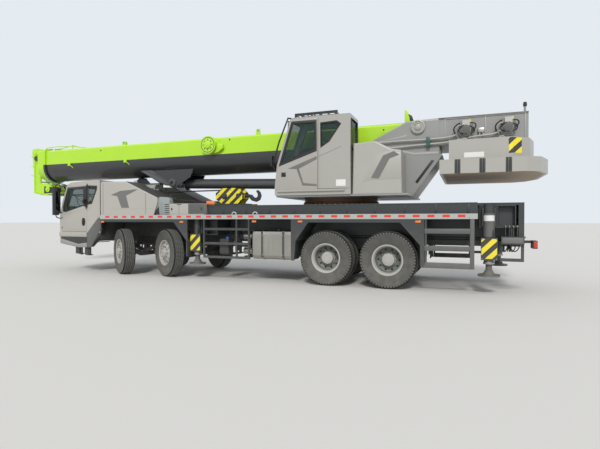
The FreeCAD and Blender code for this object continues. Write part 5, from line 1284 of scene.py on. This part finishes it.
def boom_trim():
    trim = Fitting("boom_trim", "boom_base", "lime_paint")
    trim.put(LIME, cap([
        (0.235, 0), (0.235, 0.012), (0.205, 0.018), (0.205, 0.15), (0.235, 0.156), (0.235, 0.168), (0.1, 0.172),
        (0.095, 0.2), (0.06, 0.215), (0, 0.215),
    ], REEL, Y_AXIS, 40))
    trim.put(PANEL_AND_SLOT_SHADE, turned([
        (0.168, 0.164), (0.206, 0.164), (0.206, 0.1695), (0.168, 0.1695), (0.168, 0.164),
    ], at(*REEL), Y_AXIS, 40))
    # The reel flange's holes are dark discs on its face: painted shade.
    hole = round_bar((4.962, 0.596, 3.435), (4.962, 0.602, 3.435), 0.02, 12)
    trim.put(DARK_STRIPE_AND_HOLE_SHADE, ring_of(hole, at(4.83, 0.6, 3.435), Y_AXIS, 8))
    trim.put(LIME, side_sheet([
        (4.8, 3.2), (4.56, 3.24), (4.42, 3.34), (4.44, 3.44), (4.58, 3.52), (4.66, 3.4), (4.8, 3.36),
    ], 0.428, 0.52, 0.01))
    for s, z in ((7.835, 3.76), (3.466, 3.8)):
        trim.put(LIME, side_sheet([
            (s - 0.052, 3.6), (s - 0.052, z), (s + 0.052, z), (s + 0.06, 3.7), (s + 0.09, 3.6),
        ], 0.335, 0.372, 0.005))
        eye = turned([(0.012, 0), (0.03, 0), (0.03, 0.008), (0.012, 0.008)], at(s, 0.371, z - 0.045), Y_AXIS, 16)
        trim.put(STEEL, eye)
    trim.put(LIME, side_sheet([
        (-0.231, 3.6), (-0.231, 3.95), (-0.296, 3.95), (-0.305, 3.86), (-0.335, 3.78), (-0.36, 3.6),
    ], 0.332, 0.376, 0.005))
    trim.put(BLACK, side_sheet([
        (-0.302, 3.862), (-0.392, 3.806), (-0.44, 3.655), (-0.35, 3.655), (-0.328, 3.78),
    ], 0.337, 0.371, 0.004))
    for s in (9.905, 7.72):
        trim.both(
            LIME, brick((s - 0.055, s + 0.045), (0.425, 0.47), (3.12, 3.21), 0.006),
            pipe([(-0.05, 0.455, 3.13), (-0.14, 0.455, 3.09), (-0.15, 0.44, 3.05)], 0.01, s))
    for s, z in ((8.654, 3.527), (4.264, 3.565), (0.235, 3.522)):
        trim.both(BLACK, cap([(0.02, 0), (0.02, 0.006), (0, 0.006)], (s, 0.429, z), Y_AXIS, 16))
    trim.both(LIME, turned([
        (0.06, 0), (0.11, 0), (0.11, 0.008), (0.06, 0.008),
    ], at(0.235, 0.427, 3.4), Y_AXIS, 28))
    trim.put(BARREL, *[shell_seam(s) for s in (10.55, 6.55, 6.1)])
    trim.put(
        LIME,
        pipe([(11.08, 0.3, 3.72), (11.02, 0.3, 3.775), (10, 0.3, 3.77), (9.28, 0.3, 3.655)], 0.013),
        rod([(11.16, -0.1, 3.76), (10, 0.26, 3.77)], 0.011),
        rod([(9.95, 0.26, 3.66), (9.95, 0.3, 3.775)], 0.014),
        rod([(9.95, -0.26, 3.66), (9.95, -0.3, 3.775)], 0.014),
        rod([(9.95, -0.3, 3.775), (9.95, 0.3, 3.775)], 0.011),
        pipe([(11.05, -0.3, 3.72), (10, -0.3, 3.77), (9.28, -0.3, 3.655)], 0.013))
    trim.put(ROPE, rod([
        (-0.4, 0.13, 3.7), (3.48, 0.13, 3.692), (7.83, 0.13, 3.692), (10.5, 0.13, 3.695), (10.88, 0.13, 3.728),
    ], ROPE_R))
    for s in (-0.356, 3.485, 7.835):
        trim.put(
            LIME, brick((s - 0.05, s + 0.05), (-0.22, 0.34), (3.648, 3.668), 0.006),
            brick((s - 0.04, s + 0.04), (0.08, 0.18), (3.66, 3.685), 0.006))
    trim.both(GREY, cap([
        (0.062, 0), (0.062, 0.012), (0.05, 0.018), (0, 0.018),
    ], (-0.55, 0.654, 3.49), Y_AXIS, 28))
    trim.both(BARREL, side_sheet([
        (7.36, 3), (7.03, 2.84), (6.3, 2.5), (6.3, 2.56), (7, 2.9), (7.2, 3),
    ], 0.334, 0.345))
    trim.both(PANEL_AND_SLOT_SHADE, side_sheet([
        (7.53, 3.02), (7.08, 3.03), (6.54, 2.64), (6.17, 2.43), (6.33, 2.42), (6.54, 2.468), (6.945, 2.7),
    ], 0.3, 0.344, 0.004))
    trim.both(BARREL, turned([
        (0.05, 0), (0.12, 0), (0.12, 0.025), (0.1, 0.032), (0.05, 0.032),
    ], at(6.15, 0.334, 2.49), Y_AXIS, 28))
    trim.done()


def grooved(radius, width, s, y, z):
    """Rope sheave: flanges, groove, web and hub."""
    half = width / 2
    return turned(evened([
        (0.035, -half), (radius * 0.3, -half), (radius * 0.34, -half * 0.35), (radius * 0.78, -half * 0.35),
        (radius * 0.84, -half), (radius, -half), (radius * 0.9, -half * 0.3),
    ]), at(s, y, z), Y_AXIS, 40)


def head_trim():
    """Head of the innermost section: sheaves, side bosses, lamp, rope guard and roller."""
    trim = Fitting("head_trim", "boom_section_5", "lime_paint")
    low = [grooved(0.17, 0.062, 10.94, y, 2.43) for y in (-0.27, -0.19, -0.11, -0.03, 0.05, 0.13, 0.21, 0.28)]
    high = [grooved(0.155, 0.07, 11.45, y, 3.6) for y in (-0.24, -0.08, 0.08, 0.24)]
    trim.put(BLACK, *low, *high)
    trim.both(BLACK, side_sheet([(11.1, 2.53), (10.7, 2.49), (10.69, 2.31), (11.11, 2.3)], 0.3425, 0.3465, 0))
    for s, z, r in ((11.45, 3.6, 0.085), (10.94, 2.43, 0.09), (11.3, 3, 0.06)):
        trim.both(LIME, cap([
            (r, 0), (r, 0.02), (r * 0.8, 0.028), (r * 0.5, 0.028), (r * 0.45, 0.045), (0, 0.045)], (s, 0.343, z)))
    trim.both(
        LIME,
        side_sheet([(11.5, 3.66), (11.535, 2.95), (11.535, 2.36), (11.16, 2.27), (11.17, 2.31), (11.495, 2.39),
                    (11.495, 2.95), (11.46, 3.64)], 0.343, 0.362),
        side_sheet([(11.28, 3.7), (11.24, 3.2), (11.26, 2.66), (11.3, 2.66), (11.28, 3.2), (11.32, 3.7)], 0.343, 0.358))
    for s, z, radius in ((11.52, 3.3, 0.022), (11.53, 2.7, 0.022), (11.15, 2.27, 0.018), (10.74, 2.33, 0.018)):
        trim.put(LIME, round_bar((s, -0.33, z), (s, 0.33, z), radius))
    for z in (3.5, 3.18, 2.88):
        trim.put(LIME, round_bar((11.47, 0.34, z), (11.6, 0.4, z + 0.01), 0.01))
    trim.put(CASTING, cap([
        (0.075, 0), (0.08, 0.012), (0.055, 0.02), (0.055, 0.06), (0.08, 0.068), (0.075, 0.08), (0, 0.082),
    ], (11.35, 0.36, 3.42)))
    trim.put(ROPE, pipe([
        (10.96, 0.13, 3.735), (11.36, 0.09, 3.752), (11.46, 0.08, 3.75), (11.56, 0.08, 3.705), (11.598, 0.08, 3.6),
        (11.59, 0.08, 3.2), (11.5, 0.02, 2.7), (11.08, -0.03, 2.52),
    ], ROPE_R))
    trim.done()


# Hook block and its ropes

HOOK_S, HOOK_Y, HOOK_Z = 4.39, 0.325, 2.0825
HOOK_BOLTS = ((3.92, 1.97), (3.92, 2.2), (4.2, 1.93), (4.2, 2.235), (4.55, 2.05), (4.55, 2.115))
FALLS = ((-0.09, -0.27), (-0.03, -0.19), (0.03, -0.11), (0.09, -0.03))


def hook_trim():
    trim = Fitting("hook_trim", "hook_block", "hook_yellow")
    other_side = Matrix.Translation((0, 2 * HOOK_Y, 0)) @ FLIP
    trim.put(CASTING, *[grooved(0.178, 0.05, HOOK_S, HOOK_Y + aside, HOOK_Z) for aside, head_y in FALLS])
    bosses = [
        cap([(0.085, 0), (0.085, 0.012), (0.06, 0.018), (0.06, 0.03), (0, 0.03)], (HOOK_S, 0.494, HOOK_Z), Y_AXIS, 28),
        cap([(0.06, 0), (0.06, 0.014), (0, 0.016)], (3.98, 0.494, HOOK_Z))]
    trim.put(CASTING, with_twin(joined(bosses), other_side))
    trim.put(STEEL, with_twin(bolts([(s, 0.494, z) for s, z in HOOK_BOLTS], 0.014, 0.012), other_side))
    for aside, head_y in FALLS:
        trim.put(ROPE, *[
            rod([(HOOK_S + 0.02, HOOK_Y + aside, HOOK_Z + rise), (10.93, end_y, 2.262)], ROPE_R)
            for rise, end_y in ((0.164, head_y), (-0.164, head_y - 0.025))])
    trim.done()


def hoist_lead():
    """Rope from the winch to the boom's rear lug."""
    line = [(-1.53, 0.05, 3.556), (-1.2, 0.07, 3.612), (-0.8, 0.1, 3.672), (-0.42, 0.13, 3.7)]
    rope = pipe(line, ROPE_R)
    rope.name = "hoist_lead"
    rope.data.name = rope.name
    rope.data.materials.append(ROPE)
    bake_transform(rope)


# Stage, lamps and camera

CAMERA_PLACE = at(-1.516, 10.422, 1.462)
CAMERA_YAW = math.radians(20.842)
CAMERA_PITCH = math.radians(-0.644)
LENS_MM = 25.98


def set_stage():
    rest()
    bpy.ops.mesh.primitive_plane_add(size=400, location=(0, 0, 0))
    floor = bpy.context.object
    floor.name = "floor"
    floor.data.materials.append(
        new_material("pale_floor", {"Base Color": (0.62, 0.61, 0.59, 1), "Roughness": 0.9})[0])

    world = bpy.data.worlds.new("daylight")
    bpy.context.scene.world = world
    world.use_nodes = True
    tree = world.node_tree
    light = tree.nodes["Background"]
    light.inputs["Color"].default_value = (0.93, 0.96, 1, 1)
    light.inputs["Strength"].default_value = 0.75
    seen = add(tree, "Background", Color=(0.78, 0.83, 0.88, 1), Strength=1.0)
    rays = add(tree, "LightPath").outputs
    either = worked(tree, "MAXIMUM", rays["Is Camera Ray"], rays["Is Transmission Ray"])
    mix = add(tree, "MixShader")
    for socket, value in zip(mix.inputs, (worked(tree, "MAXIMUM", either, rays["Is Glossy Ray"]), light.outputs[0],
                                          seen.outputs[0])):
        tree.links.new(value, socket)
    tree.links.new(mix.outputs[0], tree.nodes["World Output"].inputs[0])

    rest()
    bpy.ops.object.light_add(type="SUN", rotation=(math.radians(-48), math.radians(-14), 0))
    sun = bpy.context.object
    sun.name = "soft_sun"
    sun.data.energy = 2
    sun.data.angle = math.radians(12)
    sun.data.color = (1, 0.97, 0.92)


def set_camera():
    rest()
    forward = Vector((
        math.sin(CAMERA_YAW) * math.cos(CAMERA_PITCH),
        -math.cos(CAMERA_YAW) * math.cos(CAMERA_PITCH),
        math.sin(CAMERA_PITCH),
    ))
    bpy.ops.object.camera_add(location=CAMERA_PLACE)
    camera = bpy.context.object
    camera.rotation_mode = "QUATERNION"
    camera.rotation_quaternion = forward.to_track_quat("-Z", "Y")
    camera.data.lens = LENS_MM
    camera.data.sensor_width = 36
    camera.data.clip_end = 500
    bpy.context.scene.camera = camera


paint_nodes()
wheels()
carrier_cab_trim()
carrier_cab_front()
carrier_doors()
housing_trim()
deck_edge()
underframe()
outrigger_marks()
control_levers()
ring_teeth()
operator_cab_trim()
operator_door_trim()
superstructure_trim()
counterweight_trim()
winch_gear()
boom_trim()
head_trim()
hook_trim()
hoist_lead()
set_stage()
set_camera()

bpy.context.scene.view_settings.view_transform = "Standard"
